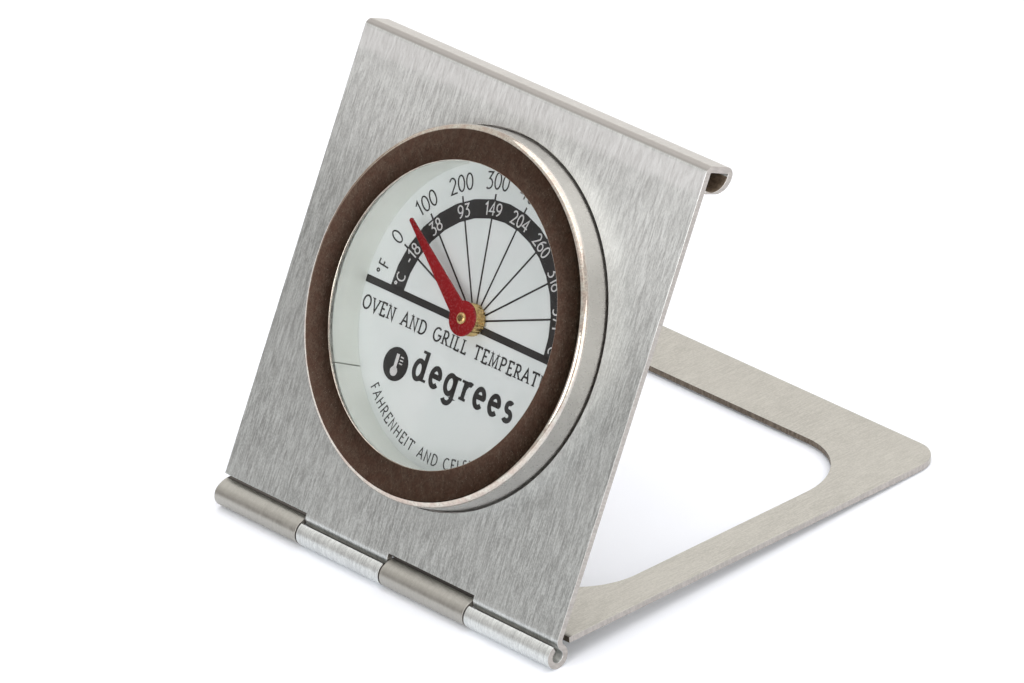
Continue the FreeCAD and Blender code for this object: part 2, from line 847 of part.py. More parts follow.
stand_frame()
front_plate()
hinge_pin()
bezel_shell()
washer(
    "lens_gasket",
    size.gasket_bore,
    size.shell_radius - size.shell_round,
    size.lens_front,
    size.bezel_front - size.shell_gauge,
)
disc("lens", size.stack_radius, size.spacer_front, size.lens_front)
spacer_ring()
disc("dial_plate", size.stack_radius, size.dial_back, size.dial_front, size.dial_bore)
case_back()
mounting_ring()
pointer()
pointer_hub()
pointer_shaft()
washer(
    "coil_collet",
    size.shaft_radius + size.shaft_press,
    size.collet_radius,
    size.collet_back,
    size.collet_front,
)
bimetal_coil()
anchor_post()
movement_bridge()
front_bearing()
rear_bearing()
bridge_rivets()
check_and_export()
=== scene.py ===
"""Folding oven thermometer: the finished look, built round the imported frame.

Blender's own units are metres. Sizes below are in millimetres, in the axes of each part: the plate and the
stand have X along the hinge, Y away from it and Z out of the sheet, from an origin on the hinge's axis. The
dial head has the plate's axes, from the middle of the dial on the plate's front face.
"""

import json
import math
from collections import namedtuple

import bmesh
import bpy
from mathutils import Matrix, Vector


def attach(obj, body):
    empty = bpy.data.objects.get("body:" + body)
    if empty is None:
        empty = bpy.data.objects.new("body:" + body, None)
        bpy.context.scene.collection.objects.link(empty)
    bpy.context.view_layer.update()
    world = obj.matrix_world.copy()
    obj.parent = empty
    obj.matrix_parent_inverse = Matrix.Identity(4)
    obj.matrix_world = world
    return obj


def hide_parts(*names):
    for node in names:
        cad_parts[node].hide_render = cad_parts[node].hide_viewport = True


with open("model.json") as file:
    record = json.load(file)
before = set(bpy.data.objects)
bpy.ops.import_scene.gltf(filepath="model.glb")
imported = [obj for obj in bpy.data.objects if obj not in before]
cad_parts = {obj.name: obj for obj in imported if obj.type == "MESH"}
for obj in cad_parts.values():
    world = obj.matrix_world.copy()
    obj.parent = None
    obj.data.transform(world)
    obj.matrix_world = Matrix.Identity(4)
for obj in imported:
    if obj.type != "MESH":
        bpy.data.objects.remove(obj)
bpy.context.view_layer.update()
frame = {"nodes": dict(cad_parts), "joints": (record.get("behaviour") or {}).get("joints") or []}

MM = 0.001
LEFT = 1
RIGHT = -1
ARC_STEP = math.radians(5)

# Sheet metal and hinge
GAUGE = 1.0
WIDTH = 75.0
BARREL = 2.0
BORE = BARREL - GAUGE
KNUCKLE_GAP = 0.3
KNUCKLE = (WIDTH - 3 * KNUCKLE_GAP) / 4
KNUCKLE_PITCH = KNUCKLE + KNUCKLE_GAP
PIN = 0.95
PIN_RECESS = 1.5

# Front plate
PLATE_TOP = 76.03
PLATE_FOOT = 3.0
PLATE_FACE = 1.08
PLATE_BEND = 1.25
PLATE_CURL_END = math.radians(-312)
HOLE = 29.1
HEAD_HEIGHT = 40.2
HEM_SLOPE = math.radians(5)
HEM_TAIL_SLOPE = math.radians(7)
HEM_CREASE = 1.1
HEM_DEPTH = 5.72
HEM_NOSE = 1.4
HEM_DROP = 1.1
HEM_BELLY = 2.9
HEM_TAIL_GAP = 0.05
HEM_TAIL_TIP = 0.6

# Stand
STAND_DEPTH = 80.0
STAND_FRONT = 2.4
STAND_BEND = 3.75
STAND_BEND_START = math.radians(120)
STAND_CURL_END = math.radians(327)
FRONT_RAIL = 10.3
SIDE_RAIL = 6.75
BACK_RAIL = 10.6
OPENING_ROUND = 12.0
STAND_CORNER = 5.0

# Dial head
BEZEL_FRONT = 4.8
SHELL = 28.8
SHELL_GAUGE = 0.5
SHELL_ROUND = 1.0
CROWN = 0.08
CROWN_ROUND = 34.0
WINDOW = 23.2
CRIMP_REACH = 2.4
CRIMP_ROUND = 0.45
STACK = 28.2
GASKET_GAUGE = 0.4
LENS_GAUGE = 1.5
SPACER_BORE = 23.9
SPACER_GAUGE = 0.5
SPACER_DEPTH = 5.7
SPACER_SPLIT_ANGLE = math.radians(215)
SPACER_SPLIT = 0.2
DIAL_GAUGE = 0.5
DIAL_BORE = 1.2
PAN = 24.0
PAN_BACK = -9.1
PAN_ROUND = 1.5
RING_BORE = 28.82
RING_RADIUS = 30.8
RING_GAUGE = 0.6
COLLAR = 29.3
COLLAR_DEPTH = 2.3
LENS_FRONT = BEZEL_FRONT - SHELL_GAUGE - GASKET_GAUGE
SPACER_FRONT = LENS_FRONT - LENS_GAUGE
DIAL_FRONT = SPACER_FRONT - SPACER_DEPTH
DIAL_BACK = DIAL_FRONT - DIAL_GAUGE
FLANGE_BACK = DIAL_BACK - SHELL_GAUGE
SHELL_BACK = FLANGE_BACK - SHELL_GAUGE
PAN_FLOOR = PAN_BACK + SHELL_GAUGE

# Pointer, hub and shaft
POINTER_BASE = -0.75
POINTER_GAUGE = 0.35
POINTER_LENGTH = 19.2
POINTER_DISC = 2.7
POINTER_ROOT = 1.4
POINTER_TIP = 0.35
POINTER_TIP_ROUND = 0.5
POINTER_ANGLE = math.radians(147)
HUB = 2.5
HUB_BASE = -3.0
HUB_GROOVE = 0.2
HUB_GROOVES = 30
SHAFT = 0.6
SHAFT_BACK = -8.95
SHAFT_HEAD = 0.9
SHAFT_HEAD_RISE = 0.2
SHAFT_HEAD_DOME = 0.25
SHAFT_HEAD_ROUND = 0.8
SHAFT_HEAD_FLAT = 0.35
RIVET_PLACE = 13.5
RIVET = 1.0
RIVET_HEAD = 1.8
RIVET_HEAD_HEIGHT = 0.5
RIVET_BRIM = 0.12
BRIDGE_GAUGE = 0.6
BUSH = 1.3
BUSH_FLANGE = 1.9
BUSH_FLANGE_GAUGE = 0.4
BUSH_BACK = -9.5

# A face is edge on to an axis, or faces it, when its normal's share along it is under or over these
EDGE_ON = 0.3
FACING = 0.9

# Printed dial: angles are in degrees, anticlockwise from the right. A unit's place is a radius and an angle.
PRINT = 0.03
PRINT_OFFSET = (-0.17, -0.24)
FIRST_TICK = 161.0
TICK_STEP = 20.25
FAHRENHEIT = range(0, 800, 100)
BAND_INNER = 15.55
BAND_OUTER = 18.45
TICK_END = 19.3
BAR_LOW = -1.3
BAR_HIGH = -0.15
BAR_START = 2.0
BAR_END = 23.7
SPOKE_START = 2.2
LAP = 0.1
LINE = 0.3
OUTER_NUMERALS = 20.05
INNER_NUMERALS = 16.05
OUTER_UNIT = (20.1, 175.0)
INNER_UNITS = ((16.15, 176.0), (16.15, 4.0))
TITLE_START = (-22.9, -5.1)
WORD_START = (-9.0, -11.6)
NOTE_RADIUS = 22.5
NOTE_START = -136.0
SYMBOL = (-12.6, -10.9)
SYMBOL_RADIUS = 2.6

# Lettering, in millimetres
Style = namedtuple("Style", "height weight gap serif", defaults=[0.0])
OUTER_STYLE = Style(2.45, 0.26, 0.12)
INNER_STYLE = Style(1.9, 0.22, 0.12)
OUTER_UNIT_STYLE = Style(2.1, 0.26, 0.3)
INNER_UNIT_STYLE = Style(1.7, 0.2, 0.15)
TITLE_STYLE = Style(2.0, 0.3, 0.42, 0.17)
WORD_STYLE = Style(4.2, 0.8, 0.6, 0.17)
NOTE_STYLE = Style(1.65, 0.2, 0.35)
SERIF_WEIGHT = 0.55
SERIF_INSET = 0.6


# Axes of the parts

joints = {joint["name"]: joint for joint in frame["joints"]}
hinge_point = Vector(joints["stand_fold"]["pos_m"])
dial_point = Vector(joints["pointer_sweep"]["pos_m"])
along = Vector((1, 0, 0))
out = -Vector(joints["pointer_sweep"]["axis"])


def axes(origin, outward):
    """The matrix of axes with X along the hinge and Z outward."""
    up = outward.cross(along)
    turn = Matrix((along, up, outward)).transposed().to_4x4()
    return Matrix.Translation(origin) @ turn


def stand_sizes():
    """The depth and height of the centre of the stand's bend, its sheet's height and its tilt."""
    middle = BARREL - GAUGE / 2
    bend_depth = -(STAND_BEND - middle) * math.cos(STAND_BEND_START)
    bend_height = -(STAND_BEND - middle) * math.sin(STAND_BEND_START)
    lift = STAND_BEND + bend_height - GAUGE / 2
    tilt = math.asin(BARREL / math.hypot(STAND_DEPTH, lift)) + math.atan2(lift, STAND_DEPTH)
    return Vector((bend_depth, bend_height)), lift, tilt


STAND_BEND_CENTRE, STAND_LIFT, STAND_TILT = stand_sizes()
PLATE = axes(hinge_point, out)
STAND = axes(hinge_point, Vector((0, math.sin(STAND_TILT), math.cos(STAND_TILT))))
HEAD = axes(dial_point, out)


# Outlines and meshes, in millimetres


def polar(radius, angle, centre=(0, 0)):
    return centre[0] + radius * math.cos(angle), centre[1] + radius * math.sin(angle)


def outline(corners):
    """Points round a closed outline. A straight side leads to a corner (x, y), and an arc of under half
    a turn leads to a corner (x, y, radius, side), where side is LEFT or RIGHT as the arc turns."""
    points = []
    for index, corner in enumerate(corners):
        start, end = Vector(corners[index - 1][:2]), Vector(corner[:2])
        if len(corner) == 2:
            points.append(end)
            continue
        radius, side = corner[2:]
        chord = end - start
        rise = math.sqrt(radius ** 2 - chord.length_squared / 4)
        centre = (start + end) / 2 + side * rise * Vector((-chord.y, chord.x)).normalized()
        sweep = 2 * side * math.asin(chord.length / 2 / radius)
        steps = max(2, math.ceil(abs(sweep) / ARC_STEP))
        for step in range(1, steps + 1):
            points.append(centre + Matrix.Rotation(sweep * step / steps, 2) @ (start - centre))
    return points


def ring_outline(radius, centre=(0, 0), count=256):
    return [Vector(polar(radius, math.tau * step / count, centre)) for step in range(count)]


def across(point, place):
    """A section's point, at that place along the hinge."""
    return place, point[0], point[1]


def flat(point, height):
    """A plan's point, at that height."""
    return point[0], point[1], height


def add_prism(shape, points, low, high, lay=flat):
    """A closed solid: an outline carried from low to high."""
    bottom = [shape.verts.new(lay(point, low)) for point in points]
    top = [shape.verts.new(lay(point, high)) for point in points]
    shape.faces.new(bottom[::-1])
    shape.faces.new(top)
    for index in range(len(points)):
        shape.faces.new((bottom[index - 1], bottom[index], top[index], top[index - 1]))


def as_mesh(shape, name="shape"):
    """A bmesh's mesh, its faces turned outward. The bmesh is used up."""
    bmesh.ops.remove_doubles(shape, verts=shape.verts, dist=1e-5)
    bmesh.ops.recalc_face_normals(shape, faces=shape.faces)
    mesh = bpy.data.meshes.new(name)
    shape.to_mesh(mesh)
    shape.free()
    return mesh


def prism(points, low, high, lay=flat):
    shape = bmesh.new()
    add_prism(shape, points, low, high, lay)
    return as_mesh(shape)


def lathe(corners, count=256):
    """A closed outline of radii and heights, turned about Z."""
    profile = outline(corners)
    shape = bmesh.new()
    rings = []
    for step in range(count):
        turn = math.tau * step / count
        ring = [shape.verts.new((r * math.cos(turn), r * math.sin(turn), height)) for r, height in profile]
        rings.append(ring)
    for step, ring in enumerate(rings):
        before = rings[step - 1]
        for index in range(len(profile)):
            shape.faces.new((before[index - 1], ring[index - 1], ring[index], before[index]))
    bmesh.ops.remove_doubles(shape, verts=shape.verts, dist=1e-5)
    bmesh.ops.dissolve_degenerate(shape, edges=shape.edges, dist=1e-6)
    return as_mesh(shape)


def add_object(name, data):
    thing = bpy.data.objects.new(name, data)
    bpy.context.scene.collection.objects.link(thing)
    return thing


def applied(thing):
    """The object's mesh with its modifiers applied."""
    bpy.context.view_layer.update()
    return bpy.data.meshes.new_from_object(thing.evaluated_get(bpy.context.evaluated_depsgraph_get()))


def combined(operation, first, *others):
    """One mesh: the others joined to the first, or cut from it."""
    base = add_object("temporary", first)
    tools = [add_object("temporary", mesh) for mesh in others]
    for tool in tools:
        step = base.modifiers.new("combine", "BOOLEAN")
        step.object, step.operation, step.solver = tool, operation, "EXACT"
    mesh = applied(base)
    for thing in (base, *tools):
        bpy.data.objects.remove(thing)
    shape = bmesh.new()
    shape.from_mesh(mesh)
    bmesh.ops.remove_doubles(shape, verts=shape.verts, dist=1e-4)
    bmesh.ops.dissolve_limit(shape, angle_limit=math.radians(0.5), verts=shape.verts, edges=shape.edges)
    return as_mesh(shape)


def rounded(mesh, edge):
    """The mesh with its sharp edges rounded by that radius."""
    thing = add_object("temporary", mesh)
    bevel = thing.modifiers.new("round", "BEVEL")
    bevel.width, bevel.segments = edge, 3
    bevel.limit_method, bevel.angle_limit = "ANGLE", math.radians(35)
    bevel.use_clamp_overlap = False
    mesh = applied(thing)
    bpy.data.objects.remove(thing)
    return mesh


def piece(name, mesh, place, body, slot, material, *nodes, edge=0.0):
    """A finished piece of the object: a mesh in millimetres, put into place on its body."""
    if edge:
        mesh = rounded(mesh, edge)
    mesh.transform(Matrix.Scale(MM, 4))
    mesh.shade_smooth()
    mesh.set_sharp_from_angle(angle=math.radians(32))
    mesh.materials.clear()
    mesh.materials.append(material)
    thing = add_object(name, mesh)
    thing.matrix_world = place
    even = thing.modifiers.new("even_normals", "WEIGHTED_NORMAL")
    even.keep_sharp = True
    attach(thing, body)
    if nodes:
        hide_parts(*nodes)
    return thing


def paint_faces(thing, material, chosen):
    """Gives another material to the faces that chosen(face) picks, in metres."""
    mesh = thing.data
    mesh.materials.append(material)
    for face in mesh.polygons:
        if chosen(face):
            face.material_index = len(mesh.materials) - 1


# Materials


class Nodes:
    """A node tree, and short ways to add nodes that feed each other."""

    def __init__(self, tree):
        self.tree = tree

    def link(self, start, end):
        self.tree.links.new(start, end)

    def node(self, kind, values, **settings):
        """A shader node with its settings. A value is a number or colour, or another node's output."""
        made = self.tree.nodes.new("ShaderNode" + kind)
        for setting, value in settings.items():
            setattr(made, setting, value)
        for socket, value in values.items():
            if isinstance(value, bpy.types.NodeSocket):
                self.link(value, made.inputs[socket])
            else:
                made.inputs[socket].default_value = value
        return made

    def fit(self, value, low, high, to_low=0.0, to_high=1.0, ends="SMOOTHSTEP"):
        """The value's range low to high, made to_low to to_high with soft ends."""
        values = {"Value": value, "From Min": low, "From Max": high, "To Min": to_low, "To Max": to_high}
        return self.node("MapRange", values, interpolation_type=ends).outputs[0]

    def mix(self, factor, first, second):
        """The first colour, or the second where the factor is 1."""
        return self.node("Mix", {0: factor, 6: first, 7: second}, data_type="RGBA").outputs[2]

    def choose(self, factor, first, second):
        """The first shader, or the second where the factor is 1."""
        return self.node("MixShader", {0: factor, 1: first, 2: second}).outputs[0]


class Finish(Nodes):
    """A material with one Principled BSDF."""

    def __init__(self, name, **values):
        self.material = bpy.data.materials.new(name)
        self.material.use_nodes = True
        super().__init__(self.material.node_tree)
        self.shader = self.tree.nodes["Principled BSDF"]
        self.output = self.tree.nodes["Material Output"]
        for socket, value in values.items():
            self.shader.inputs[socket.replace("_", " ")].default_value = value
        self.place = self.node("TexCoord", {}).outputs["Object"]

    def noise(self, across_mm, up_mm=None, out_mm=None, detail=3.0, rough=0.5):
        """Noise whose features have that size in millimetres along each axis."""
        sizes = (across_mm, up_mm or across_mm, out_mm or up_mm or across_mm)
        stretch = [1 / (MM * size) for size in sizes]
        place = self.node("Mapping", {"Vector": self.place, "Scale": stretch}).outputs[0]
        values = {"Vector": place, "Scale": 1.0, "Detail": detail, "Roughness": rough}
        return self.node("TexNoise", values).outputs["Fac"]

    def height(self, axis):
        """The object's own coordinate along one axis, in millimetres."""
        parts = self.node("SeparateXYZ", {"Vector": self.place})
        return self.maths("MULTIPLY", parts.outputs[axis], 1 / MM)

    def maths(self, operation, *values):
        return self.node("Math", dict(enumerate(values)), operation=operation).outputs[0]

    def weigh(self, *shares):
        """The sum of values, each times its share."""
        total = 0.0
        for value, share in shares:
            total = self.maths("MULTIPLY_ADD", value, share, total)
        return total

    def feed(self, socket, value):
        self.link(value, self.shader.inputs[socket])

    def colour(self, factor, first, second):
        """Feeds the base colour: the first, or the second where the factor is 1."""
        self.feed("Base Color", self.mix(factor, first, second))

    def polish(self, noise, smooth, rough):
        """Feeds the roughness, which goes with the noise from smooth to rough."""
        self.feed("Roughness", self.fit(noise, 0.3, 0.7, smooth, rough))

    def bump(self, height, depth, strength):
        """Relief that deep in millimetres."""
        values = {"Height": height, "Distance": depth * MM, "Strength": strength}
        self.feed("Normal", self.node("Bump", values).outputs[0])


def grey(level, warmth=0.0):
    """A linear grey, warmer for a positive warmth."""
    return level * (1 + warmth), level, level * (1 - warmth), 1.0


def clouded(finish, streaks, dark, light):
    """The streaks' colour, in faint large clouds."""
    cloud = finish.noise(15.0, detail=2.0)
    colour = finish.mix(finish.fit(streaks, 0.38, 0.62), dark, light)
    return finish.mix(finish.fit(cloud, 0.35, 0.7, 0.0, 0.25), colour, light)


def brushed_steel(name, light, dark, smooth, rough):
    """Sheet brushed along Y, with streaks that are thin along X: the finish, its colour and its streaks."""
    finish = Finish(name, Metallic=1.0, Anisotropic=0.5)
    fine = finish.noise(0.2, 3.0, detail=4.0, rough=0.75)
    specks = finish.noise(0.22, 0.4, rough=0.7)
    streaks = finish.weigh((fine, 0.6), (specks, 0.4))
    finish.polish(fine, smooth, rough)
    finish.feed("Tangent", finish.node("CombineXYZ", {"X": 1.0}).outputs[0])
    finish.bump(streaks, 0.012, 0.3)
    return finish, clouded(finish, streaks, dark, light), streaks


def rubbed_band(finish, up, colour):
    """The face's colour, with a pale ragged band rubbed into it below the crease."""
    ragged = finish.maths("ADD", up, finish.noise(2.2, 0.9, detail=5.0))
    rubbed = finish.fit(ragged, PLATE_TOP - 7.4, PLATE_TOP - 6.6, 0.0, 0.15)
    bright = finish.fit(ragged, PLATE_TOP - 4.8, PLATE_TOP - 3.2, 0.0, 0.85)
    below_crease = finish.fit(up, PLATE_TOP - 0.9, PLATE_TOP - 1.3)
    band = finish.maths("MULTIPLY", finish.maths("ADD", rubbed, bright), below_crease)
    grain = finish.noise(0.3, 0.45, rough=0.7)
    speckled = finish.mix(grain, (0.84, 0.86, 0.85, 1.0), (1.0, 1.0, 1.0, 1.0))
    return finish.mix(band, colour, speckled)


def plate_steel():
    """The plate's brushed face, painted darker towards its foot and left side as shade, with a paler rubbed
    band below its crease, which is painted dark as shade.
    """
    light, dark = (0.9, 0.92, 0.905, 1.0), (0.66, 0.68, 0.67, 1.0)
    finish, brushed, streaks = brushed_steel("plate_steel", light, dark, 0.4, 0.52)
    up = finish.height("Y")
    # Painted shade: the face darkens towards its foot and its left side, less so on the knuckles, standing
    # in for light that falls off there.
    shaded_colour = clouded(finish, streaks, (0.39, 0.403, 0.395, 1.0), (0.63, 0.65, 0.635, 1.0))
    aslant = finish.weigh((up, 1.0), (finish.height("X"), 0.12))
    below, off_knuckles = finish.fit(aslant, 66.0, 40.0), finish.fit(up, 1.8, 3.2, 0.5, 1.0)
    shaded_face = finish.mix(finish.maths("MULTIPLY", below, off_knuckles), brushed, shaded_colour)
    face = rubbed_band(finish, up, shaded_face)
    # Painted shade: the crease along the top and the hem's strip behind it are painted darker, darkest where
    # the sheet turns back behind the face.
    crease = finish.fit(up, PLATE_TOP - 0.95, PLATE_TOP - 0.6)
    behind = finish.fit(finish.height("Z"), PLATE_FACE - 0.5, PLATE_FACE - 1.1)
    strip = finish.mix(0.5, brushed, grey(0.5, 0.08))
    finish.colour(crease, face, finish.mix(behind, grey(0.36, 0.05), strip))
    return finish.material


def stand_steel():
    """The stand's brushed sheet, with its knuckles painted darker as shade and a painted shade line along
    their root.
    """
    light, dark = (0.565, 0.55, 0.507, 1.0), (0.42, 0.41, 0.375, 1.0)
    finish, brushed, _ = brushed_steel("stand_steel", light, dark, 0.36, 0.5)
    back = finish.height("Y")
    # Painted shade: a dark line along the knuckles' root, standing in for the shade under the plate's foot.
    root = finish.maths("MULTIPLY", finish.fit(back, 0.6, 0.85), finish.fit(back, 3.4, 2.2))
    # Painted shade: the knuckles darken towards the hinge's axis.
    knuckle_shade = finish.mix(finish.fit(back, 1.0, 0.4, 0.0, 0.45), brushed, (0.34, 0.33, 0.3, 1.0))
    finish.colour(root, knuckle_shade, grey(0.09, 0.1))
    return finish.material


def cut_steel(name, light, dark):
    """The sheared edge of a sheet."""
    finish = Finish(name, Metallic=1.0)
    tears = finish.noise(0.35, 0.35, 1.2, detail=4.0)
    finish.colour(finish.fit(tears, 0.35, 0.7), dark, light)
    finish.polish(tears, 0.4, 0.6)
    finish.bump(tears, 0.02, 0.6)
    return finish.material


def pin_steel():
    finish = Finish("pin_steel", Metallic=1.0)
    drawn = finish.noise(6.0, 0.08)
    finish.colour(drawn, grey(0.3, 0.06), grey(0.5, 0.05))
    finish.polish(drawn, 0.3, 0.45)
    return finish.material


def bezel_chrome():
    """Polished and mottled on its face, satin down its wall, with fine pits in both."""
    finish = Finish("bezel_chrome", Metallic=1.0)
    pits = finish.noise(0.35, detail=4.0, rough=0.75)
    mottle = finish.noise(1.6, detail=4.0, rough=0.6)
    wall = finish.fit(finish.height("Z"), BEZEL_FRONT - 0.3, BEZEL_FRONT - 1.1)
    stain = finish.mix(finish.fit(mottle, 0.35, 0.65), (0.6, 0.5, 0.43, 1.0), (0.7, 0.67, 0.59, 1.0))
    pitted = finish.mix(finish.fit(pits, 0.35, 0.6, 0.6, 0.0), stain, (0.4, 0.34, 0.3, 1.0))
    finish.colour(wall, pitted, grey(0.5, 0.045))
    polished = finish.fit(finish.weigh((pits, 0.5), (mottle, 0.5)), 0.35, 0.7, 0.04, 0.12)
    satin = finish.fit(pits, 0.3, 0.7, 0.26, 0.36)
    finish.feed("Roughness", finish.node("Mix", {0: wall, 2: polished, 3: satin}).outputs[0])
    finish.bump(finish.weigh((pits, 0.12), (mottle, 1.0)), 0.02, 0.6)
    return finish.material


def case_steel():
    finish = Finish("case_steel", Metallic=1.0)
    cloud = finish.noise(4.0)
    fine = finish.noise(0.2)
    finish.colour(cloud, grey(0.56, 0.01), grey(0.68, 0.02))
    finish.polish(fine, 0.3, 0.42)
    finish.bump(fine, 0.004, 0.4)
    return finish.material


def painted(name, light, dark, smooth, rough):
    """Paint with slight clouds in its colour and a fine orange peel."""
    finish = Finish(name)
    peel = finish.noise(0.25, detail=2.0)
    cloud = finish.noise(7.0, detail=2.0)
    finish.colour(finish.fit(cloud, 0.3, 0.7), dark, light)
    finish.polish(peel, smooth, rough)
    finish.bump(peel, 0.004, 0.4)
    return finish.material


def lens_glass():
    """Clear glass. Shadow rays go straight through it, so the dial behind it is lit."""
    finish = Finish("lens_glass", IOR=1.5, Transmission_Weight=1.0)
    dust = finish.noise(0.9, detail=4.0)
    finish.feed("Roughness", finish.fit(dust, 0.5, 0.9, 0.0, 0.04))
    clear = finish.node("BsdfTransparent", {}).outputs[0]
    shadow = finish.node("LightPath", {}).outputs["Is Shadow Ray"]
    both = finish.choose(shadow, finish.shader.outputs[0], clear)
    finish.link(both, finish.output.inputs["Surface"])
    return finish.material


def grained(name, grain, dark, light, smooth, rough, relief, **values):
    """A material whose colour, roughness and relief all follow one noise, with its grain in millimetres."""
    finish = Finish(name, **values)
    noise = finish.noise(*grain)
    finish.colour(noise, dark, light)
    finish.polish(noise, smooth, rough)
    finish.bump(noise, *relief)
    return finish.material


def brass(name, light, dark):
    """Turned or rolled in fine lines."""
    return grained(name, (3.0, 3.0, 0.06), dark, light, 0.16, 0.3, (0.006, 0.4), Metallic=1.0)


def rubber():
    return grained("gasket_rubber", (0.15,), grey(0.02), grey(0.05), 0.6, 0.8, (0.01, 0.5))


def aluminium():
    return grained(
        "rivet_aluminium", (0.3,), grey(0.66), grey(0.8), 0.28, 0.42, (0.006, 0.4), Metallic=1.0
    )


# Hinged sheet metal


def knuckles(section, zones):
    """One sheet's knuckles, in the given zones of the barrel's four."""
    starts = [zone * KNUCKLE_PITCH - WIDTH / 2 for zone in zones]
    return [prism(section, start, start + KNUCKLE, across) for start in starts]


def stand_plan():
    """The stand's outer edge and the edge of its opening."""
    side, far = WIDTH / 2, STAND_DEPTH
    corner, bend = STAND_CORNER, OPENING_ROUND
    inner, near, end = side - SIDE_RAIL, FRONT_RAIL, STAND_DEPTH - BACK_RAIL
    edge = outline([
        (-side, STAND_FRONT),
        (side, STAND_FRONT),
        (side, far - corner),
        (side - corner, far, corner, LEFT),
        (corner - side, far),
        (-side, far - corner, corner, LEFT),
    ])
    opening = outline([
        (bend - inner, near, bend, LEFT),
        (inner - bend, near),
        (inner, near + bend, bend, LEFT),
        (inner, end - bend),
        (inner - bend, end, bend, LEFT),
        (bend - inner, end),
        (-inner, end - bend, bend, LEFT),
        (-inner, near + bend),
    ])
    return edge, opening


def stand_knuckle():
    """The section of the stand's curl, from inside its sheet round the hinge's pin."""
    centre, start, end = STAND_BEND_CENTRE, STAND_BEND_START, STAND_CURL_END
    inside, outside = STAND_BEND - GAUGE / 2, STAND_BEND + GAUGE / 2
    middle = (start + end) / 2
    root = STAND_FRONT + GAUGE
    return outline([
        (root, STAND_LIFT),
        (centre[0], STAND_LIFT),
        (*polar(inside, start, centre), inside, LEFT),
        (*polar(BORE, middle), BORE, LEFT),
        (*polar(BORE, end), BORE, LEFT),
        polar(BARREL, end),
        (*polar(BARREL, middle), BARREL, RIGHT),
        (*polar(BARREL, start), BARREL, RIGHT),
        (centre[0], STAND_LIFT + GAUGE, outside, RIGHT),
        (root, STAND_LIFT + GAUGE),
    ])


def make_stand(steel, torn_edge_and_shade, cut_edge):
    edge, opening = stand_plan()
    sheet = prism(edge, STAND_LIFT, STAND_LIFT + GAUGE)
    hole = prism(opening, STAND_LIFT - GAUGE, STAND_LIFT + 2 * GAUGE)
    mesh = combined("UNION", combined("DIFFERENCE", sheet, hole), *knuckles(stand_knuckle(), (0, 2)))
    stand = piece("stand_sheet", mesh, STAND, "stand", "stand_steel", steel, "stand_frame", edge=0.07)
    slack = 0.2
    inner = (WIDTH / 2 - SIDE_RAIL + slack) * MM
    near, far = (FRONT_RAIL - slack) * MM, (STAND_DEPTH - BACK_RAIL + slack) * MM

    def in_opening(face):
        place = face.center
        return abs(face.normal.z) < EDGE_ON and abs(place.x) < inner and near < place.y < far

    def outer_edge(face):
        return abs(face.normal.x) > FACING and not in_opening(face)

    def front_edge(face):
        return face.normal.y < -FACING and abs(face.center.y - STAND_FRONT * MM) < slack * MM

    # The opening's sheared edges are dark and torn, with painted shade in them; the front edge, shaded by
    # the plate's foot, takes the same dark colour as painted shade.
    paint_faces(stand, torn_edge_and_shade, lambda face: in_opening(face) or front_edge(face))
    paint_faces(stand, cut_edge, outer_edge)


def hem_section():
    """The plate's section from its foot to the rolled edge along its top, as (up, out)."""
    rise, run = math.sin(HEM_SLOPE), math.cos(HEM_SLOPE)
    nose_back, inner_back = HEM_DEPTH - HEM_NOSE, HEM_DEPTH - GAUGE
    nose_up = (nose_back * rise - HEM_NOSE) / run
    crease_radius = HEM_CREASE / math.tan((math.pi / 2 - HEM_SLOPE) / 2)

    tail, tail_end = HEM_TAIL_SLOPE, GAUGE + HEM_TAIL_GAP
    tail_start = (HEM_DEPTH - HEM_BELLY * (1 - math.sin(tail)), -HEM_DROP - HEM_BELLY * math.cos(tail))
    tail_low = tail_start[1] - (tail_start[0] - tail_end) * math.tan(tail)
    tail_high = tail_low + HEM_TAIL_TIP
    inner_width, inner_height = inner_back - tail_end, -HEM_DROP - tail_high
    inner_radius = (inner_width ** 2 + inner_height ** 2) / (2 * inner_width)

    def under_strip(back):
        return (back * rise - GAUGE) / run

    low = PLATE_FOOT - PLATE_TOP
    behind_and_up = [
        (0, low),
        (0, -HEM_CREASE),
        (HEM_CREASE * run, HEM_CREASE * rise, crease_radius, RIGHT),
        (nose_back - HEM_NOSE * rise, nose_up + HEM_NOSE * run),
        (HEM_DEPTH, nose_up, HEM_NOSE, RIGHT),
        (HEM_DEPTH, -HEM_DROP),
        (*tail_start, HEM_BELLY, RIGHT),
        (tail_end, tail_low),
        (tail_end, tail_high),
        (inner_back, -HEM_DROP, inner_radius, LEFT),
        (inner_back, under_strip(inner_back)),
        (GAUGE, under_strip(GAUGE)),
        (GAUGE, low),
    ]
    return outline([(PLATE_TOP + up, PLATE_FACE - back, *arc) for back, up, *arc in behind_and_up])


PLATE_BEND_OUT = PLATE_FACE - GAUGE / 2 - PLATE_BEND
PLATE_FOOT_TOP = math.sqrt((PLATE_BEND + BARREL - GAUGE / 2) ** 2 - PLATE_BEND_OUT ** 2)


def plate_knuckle():
    """The section of the plate's S-bend and curl, from inside its sheet."""
    face, back = PLATE_FACE, PLATE_FACE - GAUGE
    start, end = math.atan2(PLATE_BEND_OUT, PLATE_FOOT_TOP), PLATE_CURL_END
    third, two_thirds = (2 * start + end) / 3, (start + 2 * end) / 3
    inside, outside = PLATE_BEND - GAUGE / 2, PLATE_BEND + GAUGE / 2
    root = PLATE_FOOT + GAUGE
    return outline([
        (root, face),
        (PLATE_FOOT_TOP, face),
        (*polar(BORE, start), outside, LEFT),
        (*polar(BORE, third), BORE, RIGHT),
        (*polar(BORE, two_thirds), BORE, RIGHT),
        (*polar(BORE, end), BORE, RIGHT),
        polar(BARREL, end),
        (*polar(BARREL, two_thirds), BARREL, LEFT),
        (*polar(BARREL, third), BARREL, LEFT),
        (*polar(BARREL, start), BARREL, LEFT),
        (PLATE_FOOT_TOP, back, inside, RIGHT),
        (root, back),
    ])


